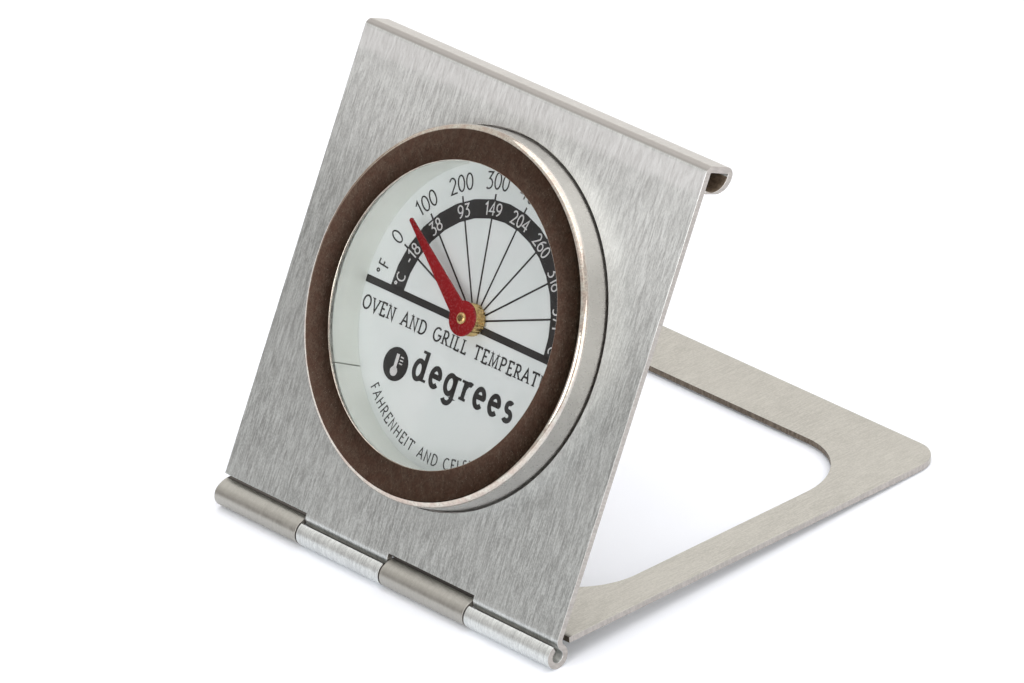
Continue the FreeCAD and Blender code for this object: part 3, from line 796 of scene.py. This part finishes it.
def make_plate(steel, cut_edge, roll_shade):
    face, back = PLATE_FACE, PLATE_FACE - GAUGE
    sheet = prism(hem_section(), -WIDTH / 2, WIDTH / 2, across)
    hole = prism(ring_outline(HOLE, (0, HEAD_HEIGHT)), back - GAUGE, face + GAUGE)
    mesh = combined("DIFFERENCE", combined("UNION", sheet, *knuckles(plate_knuckle(), (1, 3))), hole)
    plate = piece("plate_sheet", mesh, PLATE, "panel", "plate_steel", steel, "front_plate", edge=0.07)
    crease = 0.55
    low, high = (PLATE_TOP - HEM_DROP - HEM_BELLY) * MM, (PLATE_TOP - crease) * MM
    inside, front = (face - HEM_DEPTH + GAUGE) * MM, back * MM

    def in_roll(side):
        place = side.center
        return abs(side.normal.x) < EDGE_ON and low < place.y < high and inside < place.z < front

    # Painted shade: the faces inside the rolled hem take a darker brown, as the hollow's shade.
    paint_faces(plate, roll_shade, in_roll)
    paint_faces(plate, cut_edge, lambda side: abs(side.normal.x) > FACING)


def make_pin(steel):
    end, chamfer = WIDTH / 2 - PIN_RECESS, 0.2
    rod = lathe([
        (0, -end),
        (PIN - chamfer, -end),
        (PIN, chamfer - end),
        (PIN, end - chamfer),
        (PIN - chamfer, end),
        (0, end),
    ], 64)
    rod.transform(Matrix.Rotation(math.pi / 2, 4, "Y"))
    piece("pin_rod", rod, PLATE, "panel", "pin_steel", steel, "hinge_pin", edge=0.04)


# Dial head


def make_bezel(chrome):
    radius, edge, fold = SHELL, SHELL_ROUND, CRIMP_ROUND
    front, back, gauge = BEZEL_FRONT, SHELL_BACK, SHELL_GAUGE
    ring = lathe([
        (WINDOW, front - CROWN),
        (radius - edge, front - CROWN, CROWN_ROUND, RIGHT),
        (radius, front - edge - CROWN, edge, RIGHT),
        (radius, back + fold),
        (radius - fold, back, fold, RIGHT),
        (radius - CRIMP_REACH, back),
        (radius - CRIMP_REACH, back + gauge),
        (radius - gauge, back + gauge),
        (radius - gauge, front - edge),
        (radius - edge, front - gauge, edge - gauge, LEFT),
        (WINDOW, front - gauge),
    ])
    piece("bezel_ring", ring, HEAD, "panel", "bezel_chrome", chrome, "bezel_shell", edge=0.1)


def washer(bore, radius, low, high):
    return lathe([(bore, low), (radius, low), (radius, high), (bore, high)])


def make_lens(glass):
    disc = washer(0, STACK, SPACER_FRONT, LENS_FRONT)
    piece("window_glass", disc, HEAD, "panel", "lens_glass", glass, "lens", edge=0.1)


def make_spacer(paint):
    bore, wall = SPACER_BORE, SPACER_BORE + SPACER_GAUGE
    front, back = SPACER_FRONT, DIAL_FRONT
    ring = lathe([
        (bore, back),
        (wall, back),
        (wall, front - SPACER_GAUGE),
        (STACK, front - SPACER_GAUGE),
        (STACK, front),
        (bore, front),
    ])
    half = SPACER_SPLIT / 2
    split = prism([(WINDOW, -half), (SHELL, -half), (SHELL, half), (WINDOW, half)], back - 1, front + 1)
    split.transform(Matrix.Rotation(SPACER_SPLIT_ANGLE, 4, "Z"))
    mesh = combined("DIFFERENCE", ring, split)
    piece("spacer_band", mesh, HEAD, "panel", "spacer_paint", paint, "spacer_ring", edge=0.06)


def make_case(steel):
    radius, edge = PAN, PAN_ROUND
    pan = lathe([
        (BUSH, PAN_BACK),
        (radius - edge, PAN_BACK),
        (radius, PAN_BACK + edge, edge, LEFT),
        (radius, FLANGE_BACK),
        (STACK, FLANGE_BACK),
        (STACK, DIAL_BACK),
        (radius - SHELL_GAUGE, DIAL_BACK),
        (radius - SHELL_GAUGE, PAN_BACK + edge),
        (radius - edge, PAN_FLOOR, edge - SHELL_GAUGE, RIGHT),
        (BUSH, PAN_FLOOR),
    ])
    holes = [
        prism(ring_outline(RIVET, (side * RIVET_PLACE, 0), 48), PAN_BACK - 1, PAN_FLOOR + 1)
        for side in (-1, 1)
    ]
    mesh = combined("DIFFERENCE", pan, *holes)
    piece("case_pan", mesh, HEAD, "panel", "case_steel", steel, "case_back", edge=0.06)
    under = -GAUGE - RING_GAUGE
    ring = lathe([
        (RING_BORE, -GAUGE),
        (RING_BORE, -GAUGE - COLLAR_DEPTH),
        (COLLAR, -GAUGE - COLLAR_DEPTH),
        (COLLAR, under),
        (RING_RADIUS, under),
        (RING_RADIUS, -GAUGE),
    ])
    piece("rear_ring", ring, HEAD, "panel", "case_steel", steel, "mounting_ring", edge=0.08)


def rivet(place):
    """A rivet that far from the middle, through the pan and the bridge's foot, with two low domed heads."""
    crown, dome = RIVET_HEAD * 0.45, RIVET_HEAD * 1.4
    foot = PAN_FLOOR + BRIDGE_GAUGE
    mesh = lathe([
        (0, PAN_BACK - RIVET_HEAD_HEIGHT),
        (crown, PAN_BACK - RIVET_HEAD_HEIGHT),
        (RIVET_HEAD, PAN_BACK - RIVET_BRIM, dome, LEFT),
        (RIVET_HEAD, PAN_BACK),
        (RIVET, PAN_BACK),
        (RIVET, foot),
        (RIVET_HEAD, foot),
        (RIVET_HEAD, foot + RIVET_BRIM),
        (crown, foot + RIVET_HEAD_HEIGHT, dome, LEFT),
        (0, foot + RIVET_HEAD_HEIGHT),
    ], 64)
    mesh.transform(Matrix.Translation((place, 0, 0)))
    return mesh


def make_rivets(metal, bush_metal):
    """The two rivets, and the closed bush in the middle of the pan."""
    shape = bmesh.new()
    for side in (-1, 1):
        shape.from_mesh(rivet(side * RIVET_PLACE))
    piece("rivet_pair", as_mesh(shape), HEAD, "panel", "rivet_aluminium", metal, "bridge_rivets", edge=0.03)
    nose, lead = BUSH * 0.6, 0.2
    bore, bore_end = SHAFT + 0.05, PAN_BACK + 0.1
    bush = lathe([
        (0, BUSH_BACK),
        (nose, BUSH_BACK),
        (BUSH, BUSH_BACK + lead),
        (BUSH, PAN_FLOOR),
        (BUSH_FLANGE, PAN_FLOOR),
        (BUSH_FLANGE, PAN_FLOOR + BUSH_FLANGE_GAUGE),
        (bore, PAN_FLOOR + BUSH_FLANGE_GAUGE),
        (bore, bore_end),
        (0, bore_end),
    ], 64)
    piece("rear_bush", bush, HEAD, "panel", "brass", bush_metal, "rear_bearing", edge=0.03)


# Pointer


def make_pointer(red, metal):
    turn = HEAD @ Matrix.Rotation(POINTER_ANGLE, 4, "Z")
    root_out = math.sqrt(POINTER_DISC ** 2 - POINTER_ROOT ** 2)
    blade = prism(outline([
        (root_out, -POINTER_ROOT, POINTER_DISC, LEFT),
        (POINTER_LENGTH, -POINTER_TIP),
        (POINTER_LENGTH, POINTER_TIP, POINTER_TIP_ROUND, LEFT),
        (root_out, POINTER_ROOT),
        (-POINTER_DISC, 0, POINTER_DISC, LEFT),
    ]), POINTER_BASE, POINTER_BASE + POINTER_GAUGE)
    piece("needle_blade", blade, turn, "needle", "pointer_paint", red, "pointer", edge=0.08)

    knurl = []
    step = math.tau / HUB_GROOVES
    half = HUB_GROOVE / HUB
    for groove in range(HUB_GROOVES):
        middle = groove * step
        knurl.append(polar(HUB - HUB_GROOVE, middle))
        for part in range(4):
            knurl.append(polar(HUB, middle + half + (step - 2 * half) * part / 3))
    hub = prism(knurl, HUB_BASE, POINTER_BASE)
    piece("needle_hub", hub, turn, "needle", "brass", metal, "pointer_hub", edge=0.03)

    front = POINTER_BASE + POINTER_GAUGE
    shoulder = front + SHAFT_HEAD_RISE
    shaft = lathe([
        (0, SHAFT_BACK),
        (SHAFT, SHAFT_BACK),
        (SHAFT, front),
        (SHAFT_HEAD, front),
        (SHAFT_HEAD, shoulder),
        (SHAFT_HEAD_FLAT, shoulder + SHAFT_HEAD_DOME, SHAFT_HEAD_ROUND, LEFT),
        (0, shoulder + SHAFT_HEAD_DOME),
    ], 64)
    piece("needle_shaft", shaft, HEAD, "needle", "brass", metal, "pointer_shaft", edge=0.03)


# Lettering: each glyph is drawn with strokes on a grid where a capital is 1 high


def arc(x, y, rx, ry, start, end):
    """Points along part of an ellipse, from start to end in degrees."""
    count = max(3, math.ceil(abs(end - start) / 12))
    angles = [math.radians(start + (end - start) * step / count) for step in range(count + 1)]
    return [(x + rx * math.cos(angle), y + ry * math.sin(angle)) for angle in angles]


def line(*points):
    return list(points)


STEM = line((0.12, 0.0), (0.12, 1.0))
FAR_STEM = line((0.66, 0.0), (0.66, 1.0))
BOWL = arc(0.3, 0.33, 0.22, 0.33, 90, 450)

# Each glyph has its width, its strokes, and the ends that carry a serif in a style with serifs.
GLYPHS = {
    " ": (0.42, [], []),
    "-": (0.4, [line((0.04, 0.42), (0.34, 0.42))], []),
    "0": (0.6, [arc(0.3, 0.5, 0.25, 0.5, 90, 450)], []),
    "1": (0.42, [line((0.06, 0.8), (0.28, 1.0), (0.28, 0.0))], []),
    "2": (0.58, [arc(0.27, 0.72, 0.23, 0.28, 160, -25) + [(0.04, 0.0), (0.54, 0.0)]], []),
    "3": (0.58, [line((0.07, 1.0), (0.5, 1.0), (0.24, 0.6)) + arc(0.23, 0.29, 0.28, 0.31, 70, -130)], []),
    "4": (0.62, [line((0.44, 0.0), (0.44, 1.0), (0.03, 0.3), (0.6, 0.3))], []),
    "5": (0.58, [line((0.5, 1.0), (0.14, 1.0), (0.1, 0.56)) + arc(0.25, 0.3, 0.27, 0.31, 105, -135)], []),
    "6": (0.6, [arc(0.3, 0.3, 0.25, 0.3, 160, 520), arc(0.6, 0.32, 0.55, 0.68, 105, 180)], []),
    "7": (0.55, [line((0.03, 1.0), (0.52, 1.0), (0.17, 0.0))], []),
    "8": (0.6, [arc(0.3, 0.76, 0.19, 0.24, 90, 450), arc(0.3, 0.27, 0.25, 0.27, 90, 450)], []),
    "9": (0.6, [arc(0.3, 0.7, 0.25, 0.3, -20, 340), arc(0.0, 0.68, 0.55, 0.68, 0, -75)], []),
    "°": (0.3, [arc(0.13, 0.85, 0.1, 0.12, 90, 450)], []),
    "A": (0.72, [line((0.02, 0.0), (0.36, 1.0), (0.7, 0.0)), line((0.15, 0.36), (0.57, 0.36))],
          [(0.02, 0.0), (0.7, 0.0)]),
    "C": (0.74, [arc(0.42, 0.5, 0.38, 0.5, 52, 308)], []),
    "D": (0.78, [STEM, line((0.12, 1.0)) + arc(0.3, 0.5, 0.42, 0.5, 90, -90) + line((0.12, 0.0))], STEM),
    "E": (0.58, [line((0.52, 0.84), (0.52, 1.0), (0.12, 1.0), (0.12, 0.0), (0.55, 0.0), (0.55, 0.18)),
                 line((0.12, 0.52), (0.43, 0.52))], STEM),
    "F": (0.54, [line((0.5, 1.0), (0.12, 1.0), (0.12, 0.0)), line((0.12, 0.52), (0.42, 0.52))],
          [(0.12, 0.0)]),
    "G": (0.8, [arc(0.43, 0.5, 0.39, 0.5, 52, 340) + [(0.8, 0.46), (0.5, 0.46)]], []),
    "H": (0.78, [STEM, FAR_STEM, line((0.12, 0.52), (0.66, 0.52))], STEM + FAR_STEM),
    "I": (0.26, [line((0.13, 0.0), (0.13, 1.0))], [(0.13, 0.0), (0.13, 1.0)]),
    "L": (0.56, [line((0.12, 1.0), (0.12, 0.0), (0.52, 0.0), (0.52, 0.18))], STEM),
    "M": (0.92, [line((0.1, 0.0), (0.16, 1.0), (0.46, 0.12), (0.76, 1.0), (0.82, 0.0))],
          [(0.1, 0.0), (0.14, 1.0), (0.78, 1.0), (0.82, 0.0)]),
    "N": (0.78, [STEM + FAR_STEM], [(0.12, 0.0), (0.1, 1.0), (0.66, 1.0)]),
    "O": (0.84, [arc(0.42, 0.5, 0.38, 0.5, 90, 450)], []),
    "P": (0.62, [STEM + arc(0.32, 0.74, 0.24, 0.26, 90, -90) + line((0.12, 0.48))], STEM),
    "R": (0.68, [STEM + arc(0.32, 0.74, 0.22, 0.26, 90, -90) + line((0.12, 0.48)),
                 line((0.3, 0.48), (0.64, 0.0))], STEM + [(0.64, 0.0)]),
    "S": (0.54, [arc(0.27, 0.74, 0.2, 0.26, 40, 250) + arc(0.27, 0.26, 0.23, 0.26, 70, -140)], []),
    "T": (0.7, [line((0.03, 0.86), (0.03, 1.0), (0.67, 1.0), (0.67, 0.86)), line((0.35, 1.0), (0.35, 0.0))],
          [(0.35, 0.0)]),
    "U": (0.76, [line((0.12, 1.0)) + arc(0.38, 0.3, 0.26, 0.3, 180, 360) + line((0.64, 1.0))],
          [(0.12, 1.0), (0.64, 1.0)]),
    "V": (0.7, [line((0.02, 1.0), (0.35, 0.0), (0.68, 1.0))], [(0.02, 1.0), (0.68, 1.0)]),
    "d": (0.74, [BOWL, line((0.54, 1.05), (0.54, 0.0))], [(0.46, 1.05), (0.6, 0.0)]),
    "e": (0.64, [line((0.1, 0.36), (0.5, 0.36)) + arc(0.3, 0.33, 0.22, 0.33, 10, 315)], []),
    "g": (0.74, [BOWL, line((0.54, 0.66), (0.54, -0.1)) + arc(0.32, -0.1, 0.22, 0.24, 0, -150)],
          [(0.6, 0.66)]),
    "r": (0.52, [line((0.16, 0.66), (0.16, 0.0)), arc(0.38, 0.38, 0.2, 0.26, 170, 60)],
          [(0.12, 0.66), (0.16, 0.0)]),
    "s": (0.5, [arc(0.25, 0.49, 0.14, 0.16, 45, 250) + arc(0.25, 0.17, 0.17, 0.17, 70, -145)], []),
}


def add_stroke(shape, points, weight, low, high):
    """A thin closed solid along a line, with mitred corners. A line that ends where it starts is a loop."""
    points = [Vector(point) for point in points]
    loop = (points[0] - points[-1]).length < 1e-6
    if loop:
        points = points[:-1]
    sides = []
    for index, point in enumerate(points):
        before = points[index - 1] if loop or index else None
        after = points[(index + 1) % len(points)] if loop or index + 1 < len(points) else None
        runs = ((before, point), (point, after))
        ways = [(end - start).normalized() for start, end in runs if start and end]
        way = sum(ways, Vector((0, 0))).normalized()
        reach = weight / 2 / max(0.4, way.dot(ways[0]))
        sides.append(Vector((-way.y, way.x)) * reach)
    rows = []
    for point, side in zip(points, sides):
        corners = [(point - side, low), (point + side, low), (point + side, high), (point - side, high)]
        rows.append([shape.verts.new((place[0], place[1], height)) for place, height in corners])
    for index in range(0 if loop else 1, len(rows)):
        before, here = rows[index - 1], rows[index]
        for corner in range(4):
            shape.faces.new((before[corner - 1], here[corner - 1], here[corner], before[corner]))
    if not loop:
        shape.faces.new(rows[0])
        shape.faces.new(rows[-1][::-1])


def glyph_strokes(letter, style):
    """The strokes of one glyph, in millimetres, each with its weight."""
    _, strokes, ends = GLYPHS[letter]
    made = [([Vector(point) * style.height for point in stroke], style.weight) for stroke in strokes]
    if style.serif:
        for x, y in ends:
            level = y * style.height + style.weight / 2 * (0.5 - y) * SERIF_INSET
            foot = [Vector(((x + side * style.serif) * style.height, level)) for side in (-1, 1)]
            made.append((foot, style.weight * SERIF_WEIGHT))
    return made


def text_length(text, style):
    return sum(GLYPHS[letter][0] * style.height + style.gap for letter in text) - style.gap


def add_text(shape, text, style, place, low=0.0):
    """Letters side by side. place(distance) gives where along its run a letter's middle is, as a matrix."""
    distance = 0.0
    for letter in text:
        width = GLYPHS[letter][0] * style.height
        where = place(distance + width / 2)
        for stroke, weight in glyph_strokes(letter, style):
            moved = [where @ Vector((point.x - width / 2, point.y, 0)) for point in stroke]
            add_stroke(shape, [(point.x, point.y) for point in moved], weight, low, low + PRINT)
        distance += width + style.gap


def straight(x, y):
    """Letters along a level line that starts there."""
    return lambda distance: Matrix.Translation((x + distance, y, 0))


def round_dial(radius, start, tops=1):
    """Letters round the dial: clockwise with their tops outward, or with tops=-1 the other way about."""
    def place(distance):
        angle = start - tops * (distance / radius + math.pi / 2)
        return Matrix.Rotation(angle, 4, "Z") @ Matrix.Translation((0, tops * radius, 0))
    return place


def add_centred(shape, text, style, radius, angle, low=0.0):
    """A short text round the dial, with its middle at that angle in degrees."""
    start = math.radians(angle) + text_length(text, style) / 2 / radius
    add_text(shape, text, style, round_dial(radius, start), low)


def printed(name, shape, ink):
    """One colour's print on the dial."""
    place = HEAD @ Matrix.Translation(Vector((*PRINT_OFFSET, DIAL_FRONT)) * MM)
    piece(name, as_mesh(shape), place, "panel", "dial_paint", ink)


def celsius(fahrenheit):
    return round((fahrenheit - 32) * 5 / 9)


def tick_angles():
    return [FIRST_TICK - TICK_STEP * index for index in range(len(FAHRENHEIT))]


def print_scale(dark):
    """The dark band and bar, and the ticks and spokes."""
    band = bmesh.new()
    middle = (BAND_INNER + BAND_OUTER) / 2
    add_stroke(band, arc(0, 0, middle, middle, 182, -2), BAND_OUTER - BAND_INNER, 0, PRINT)
    level = (BAR_LOW + BAR_HIGH) / 2
    for side in (-1, 1):
        ends = [(side * BAR_START, level), (side * BAR_END, level)]
        add_stroke(band, ends, BAR_HIGH - BAR_LOW, 0, PRINT)
    printed("dial_band", band, dark)
    lines = bmesh.new()
    for angle in tick_angles():
        turn = math.radians(angle)
        add_stroke(lines, [polar(SPOKE_START, turn), polar(BAND_INNER + LAP, turn)], LINE, 0, PRINT)
        add_stroke(lines, [polar(BAND_OUTER - LAP, turn), polar(TICK_END, turn)], LINE, 0, PRINT)
    printed("dial_lines", lines, dark)


def print_numerals(dark, light):
    """Fahrenheit outside the band, and Celsius on it."""
    outer, inner = bmesh.new(), bmesh.new()
    for angle, degrees in zip(tick_angles(), FAHRENHEIT):
        add_centred(outer, str(degrees), OUTER_STYLE, OUTER_NUMERALS, angle)
        add_centred(inner, str(celsius(degrees)), INNER_STYLE, INNER_NUMERALS, angle, PRINT)
    add_centred(outer, "°F", OUTER_UNIT_STYLE, *OUTER_UNIT)
    for place in INNER_UNITS:
        add_centred(inner, "°C", INNER_UNIT_STYLE, *place, PRINT)
    printed("dial_fahrenheit", outer, dark)
    printed("dial_celsius", inner, light)


def print_words(dark):
    note_place = round_dial(NOTE_RADIUS, math.radians(NOTE_START), -1)
    words = (
        ("dial_title", "OVEN AND GRILL TEMPERATURE", TITLE_STYLE, straight(*TITLE_START)),
        ("dial_word", "degrees", WORD_STYLE, straight(*WORD_START)),
        ("dial_note", "FAHRENHEIT AND CELSIUS", NOTE_STYLE, note_place),
    )
    for name, text, style, place in words:
        shape = bmesh.new()
        add_text(shape, text, style, place)
        printed(name, shape, dark)


def print_symbol(dark, light):
    """A small thermometer in a disc, with its bulb, its tube and three marks beside it."""
    disc, glass = bmesh.new(), bmesh.new()
    x, y = SYMBOL
    bulb, tube, mark = 0.75, 0.6, 0.2
    low, high = PRINT, 2 * PRINT
    add_prism(disc, ring_outline(SYMBOL_RADIUS, (x, y), 72), 0, PRINT)
    add_stroke(glass, [(x, y - 0.9), (x, y + 1.6)], tube, low, high)
    add_prism(glass, ring_outline(bulb, (x, y - 1.1), 40), low, high)
    for level in (0.3, 0.8, 1.3):
        add_stroke(glass, [(x + 0.65, y + level), (x + 1.3, y + level)], mark, low, high)
    printed("dial_symbol", disc, dark)
    printed("dial_symbol_light", glass, light)


def make_dial(paint, dark, light):
    disc = washer(DIAL_BORE, STACK, DIAL_BACK, DIAL_FRONT)
    piece("dial_face", disc, HEAD, "panel", "dial_paint", paint, "dial_plate", edge=0.04)
    print_scale(dark)
    print_numerals(dark, light)
    print_words(dark)
    print_symbol(dark, light)


# The movement inside the head keeps its CAD shapes


def finish_movement(steel, strip, metal, seal):
    hidden = {
        "lens_gasket": seal,
        "movement_bridge": steel,
        "anchor_post": steel,
        "coil_collet": metal,
        "front_bearing": metal,
        "bimetal_coil": strip,
    }
    for name, material in hidden.items():
        mesh = frame["nodes"][name].data
        mesh.materials.clear()
        mesh.materials.append(material)


# Studio


TABLE = 700.0


def floor():
    """A round white table, faintly blue in its shadows."""
    shape = bmesh.new()
    add_prism(shape, ring_outline(TABLE, count=96), -20, 0)
    mesh = as_mesh(shape, "floor")
    mesh.transform(Matrix.Scale(MM, 4))
    finish = Finish(
        "floor_paper",
        Roughness=0.9,
        Specular_IOR_Level=0.1,
        Emission_Color=(0.9, 0.94, 1.0, 1.0),
        Emission_Strength=0.05,
    )
    cloud = finish.noise(60.0, detail=2.0)
    finish.colour(cloud, (0.87, 0.89, 0.94, 1.0), (0.89, 0.91, 0.96, 1.0))
    mesh.materials.append(finish.material)
    add_object("floor", mesh)


def soft_light(name, direction, distance, size, power):
    """A square white softbox in that direction from the dial, facing it."""
    lamp = bpy.data.lights.new(name, "AREA")
    lamp.shape, lamp.size, lamp.energy = "SQUARE", size, power
    thing = add_object(name, lamp)
    way = Vector(direction).normalized()
    thing.location = dial_point + way * distance
    thing.rotation_euler = way.to_track_quat("Z", "Y").to_euler()
    thing.visible_camera = False


def studio_world():
    """Even soft light, with a dim end of the room and a dark doorway that the bezel's front reflects."""
    world = bpy.data.worlds.new("studio")
    bpy.context.scene.world = world
    world.use_nodes = True
    world.node_tree.nodes.clear()
    room = Nodes(world.node_tree)
    place = room.node("TexCoord", {}).outputs["Generated"]

    def patch(direction, start, end):
        """1 within about start degrees of that direction, and 0 beyond end degrees."""
        dot = room.node("VectorMath", {0: place, 1: direction}, operation="DOT_PRODUCT")
        return room.fit(dot.outputs["Value"], math.cos(math.radians(end)), math.cos(math.radians(start)))

    clutter = room.node("TexNoise", {"Vector": place, "Scale": 24.0, "Detail": 4.0})
    contrast = room.fit(clutter.outputs["Fac"], 0.38, 0.62, ends="LINEAR")
    shade = room.mix(contrast, (0.008, 0.008, 0.005, 1.0), (0.045, 0.026, 0.017, 1.0))
    red_side = room.mix(patch((-0.87, -0.48, 0.15), 8, 22), shade, (0.2, 0.14, 0.12, 1.0))
    overhead, dim_end = patch((0, 0, 1), 20, 80), patch((-0.25, -1.0, 0.0), 30, 62)
    brown_wall, doorway = patch((-0.98, -0.19, -0.03), 10, 24), patch((-0.669, -0.715, 0.203), 12, 20)
    colour = room.mix(overhead, grey(0.85, 0.045), grey(0.78, 0.02))
    colour = room.mix(dim_end, colour, grey(0.7, 0.01))
    colour = room.mix(brown_wall, colour, (0.3, 0.24, 0.2, 1.0))
    colour = room.mix(doorway, colour, red_side)
    lighting = room.node("Background", {"Color": colour}).outputs[0]
    seen = room.node("Background", {"Color": grey(1.0), "Strength": 1.1}).outputs[0]
    camera_ray = room.node("LightPath", {}).outputs["Is Camera Ray"]
    room.node("OutputWorld", {"Surface": room.choose(camera_ray, lighting, seen)})


CAMERA_AZIMUTH = math.radians(49.92)
CAMERA_ELEVATION = math.radians(28.94)
CAMERA_ROLL = math.radians(-5.04)
CAMERA_DISTANCE = 1.45
CAMERA_LENS = 342.3
CAMERA_AIM = Vector((5.98, -15.94, 33.89)) * MM


def camera():
    east, south, level = math.sin(CAMERA_AZIMUTH), math.cos(CAMERA_AZIMUTH), math.cos(CAMERA_ELEVATION)
    back = Vector((east * level, -south * level, math.sin(CAMERA_ELEVATION)))
    right = Vector((south, east, 0))
    turn = Matrix((right, back.cross(right), back)).transposed().to_4x4()
    lens = bpy.data.cameras.new("camera")
    lens.lens, lens.sensor_width = CAMERA_LENS, 36.0
    lens.clip_start, lens.clip_end = 0.05, 20.0
    thing = add_object("camera", lens)
    place = Matrix.Translation(CAMERA_AIM + back * CAMERA_DISTANCE)
    thing.matrix_world = place @ turn @ Matrix.Rotation(CAMERA_ROLL, 4, "Z")
    bpy.context.scene.camera = thing


def studio():
    floor()
    camera()
    studio_world()
    soft_light("table_softbox", (0.0, 0.3, 1.0), 1.1, 1.5, 8.0)
    soft_light("overhead_softbox", (0.14, -0.33, 0.92), 1.1, 0.7, 0.6)
    soft_light("front_softbox", (0.24, -0.92, 0.34), 1.2, 0.5, 3.7)
    soft_light("right_softbox", (0.95, -0.3, 0.3), 1.7, 1.2, 7.5)
    bpy.context.scene.view_settings.view_transform = "Standard"


turned_brass = brass("turned_brass", (0.9, 0.66, 0.3, 1.0), (0.6, 0.4, 0.16, 1.0))
sheet_steel = case_steel()
white_ink = painted("white_ink", grey(0.78), grey(0.72), 0.4, 0.5)
black_ink = painted("black_ink", grey(0.03, -0.06), grey(0.022, -0.06), 0.35, 0.45)

pale_cut = cut_steel("cut_edge", grey(0.5, 0.06), grey(0.38, 0.07))
# A dark torn edge, also used as painted shade on the stand's front edge.
torn_edge_and_shade = cut_steel("torn_edge_and_shade", grey(0.2, 0.22), grey(0.09, 0.24))
make_stand(stand_steel(), torn_edge_and_shade, pale_cut)
# The rolled hem's hollow is painted darker brown as shade.
make_plate(plate_steel(), pale_cut, cut_steel("inner_roll_shade", grey(0.5, 0.2), grey(0.36, 0.24)))
make_pin(pin_steel())
make_bezel(bezel_chrome())
make_lens(lens_glass())
make_spacer(painted("spacer_paint", (0.84, 0.88, 0.83, 1.0), (0.78, 0.82, 0.77, 1.0), 0.3, 0.42))
dial_paint = painted("dial_paint", (0.83, 0.87, 0.87, 1.0), (0.78, 0.83, 0.83, 1.0), 0.3, 0.4)
make_dial(dial_paint, black_ink, white_ink)
make_case(sheet_steel)
make_rivets(aluminium(), turned_brass)
red_paint = painted("pointer_paint", (0.3, 0.008, 0.013, 1.0), (0.24, 0.006, 0.01, 1.0), 0.2, 0.3)
make_pointer(red_paint, turned_brass)
bimetal = brass("rolled_bimetal", (0.7, 0.52, 0.32, 1.0), (0.5, 0.38, 0.26, 1.0))
finish_movement(sheet_steel, bimetal, turned_brass, rubber())
studio()
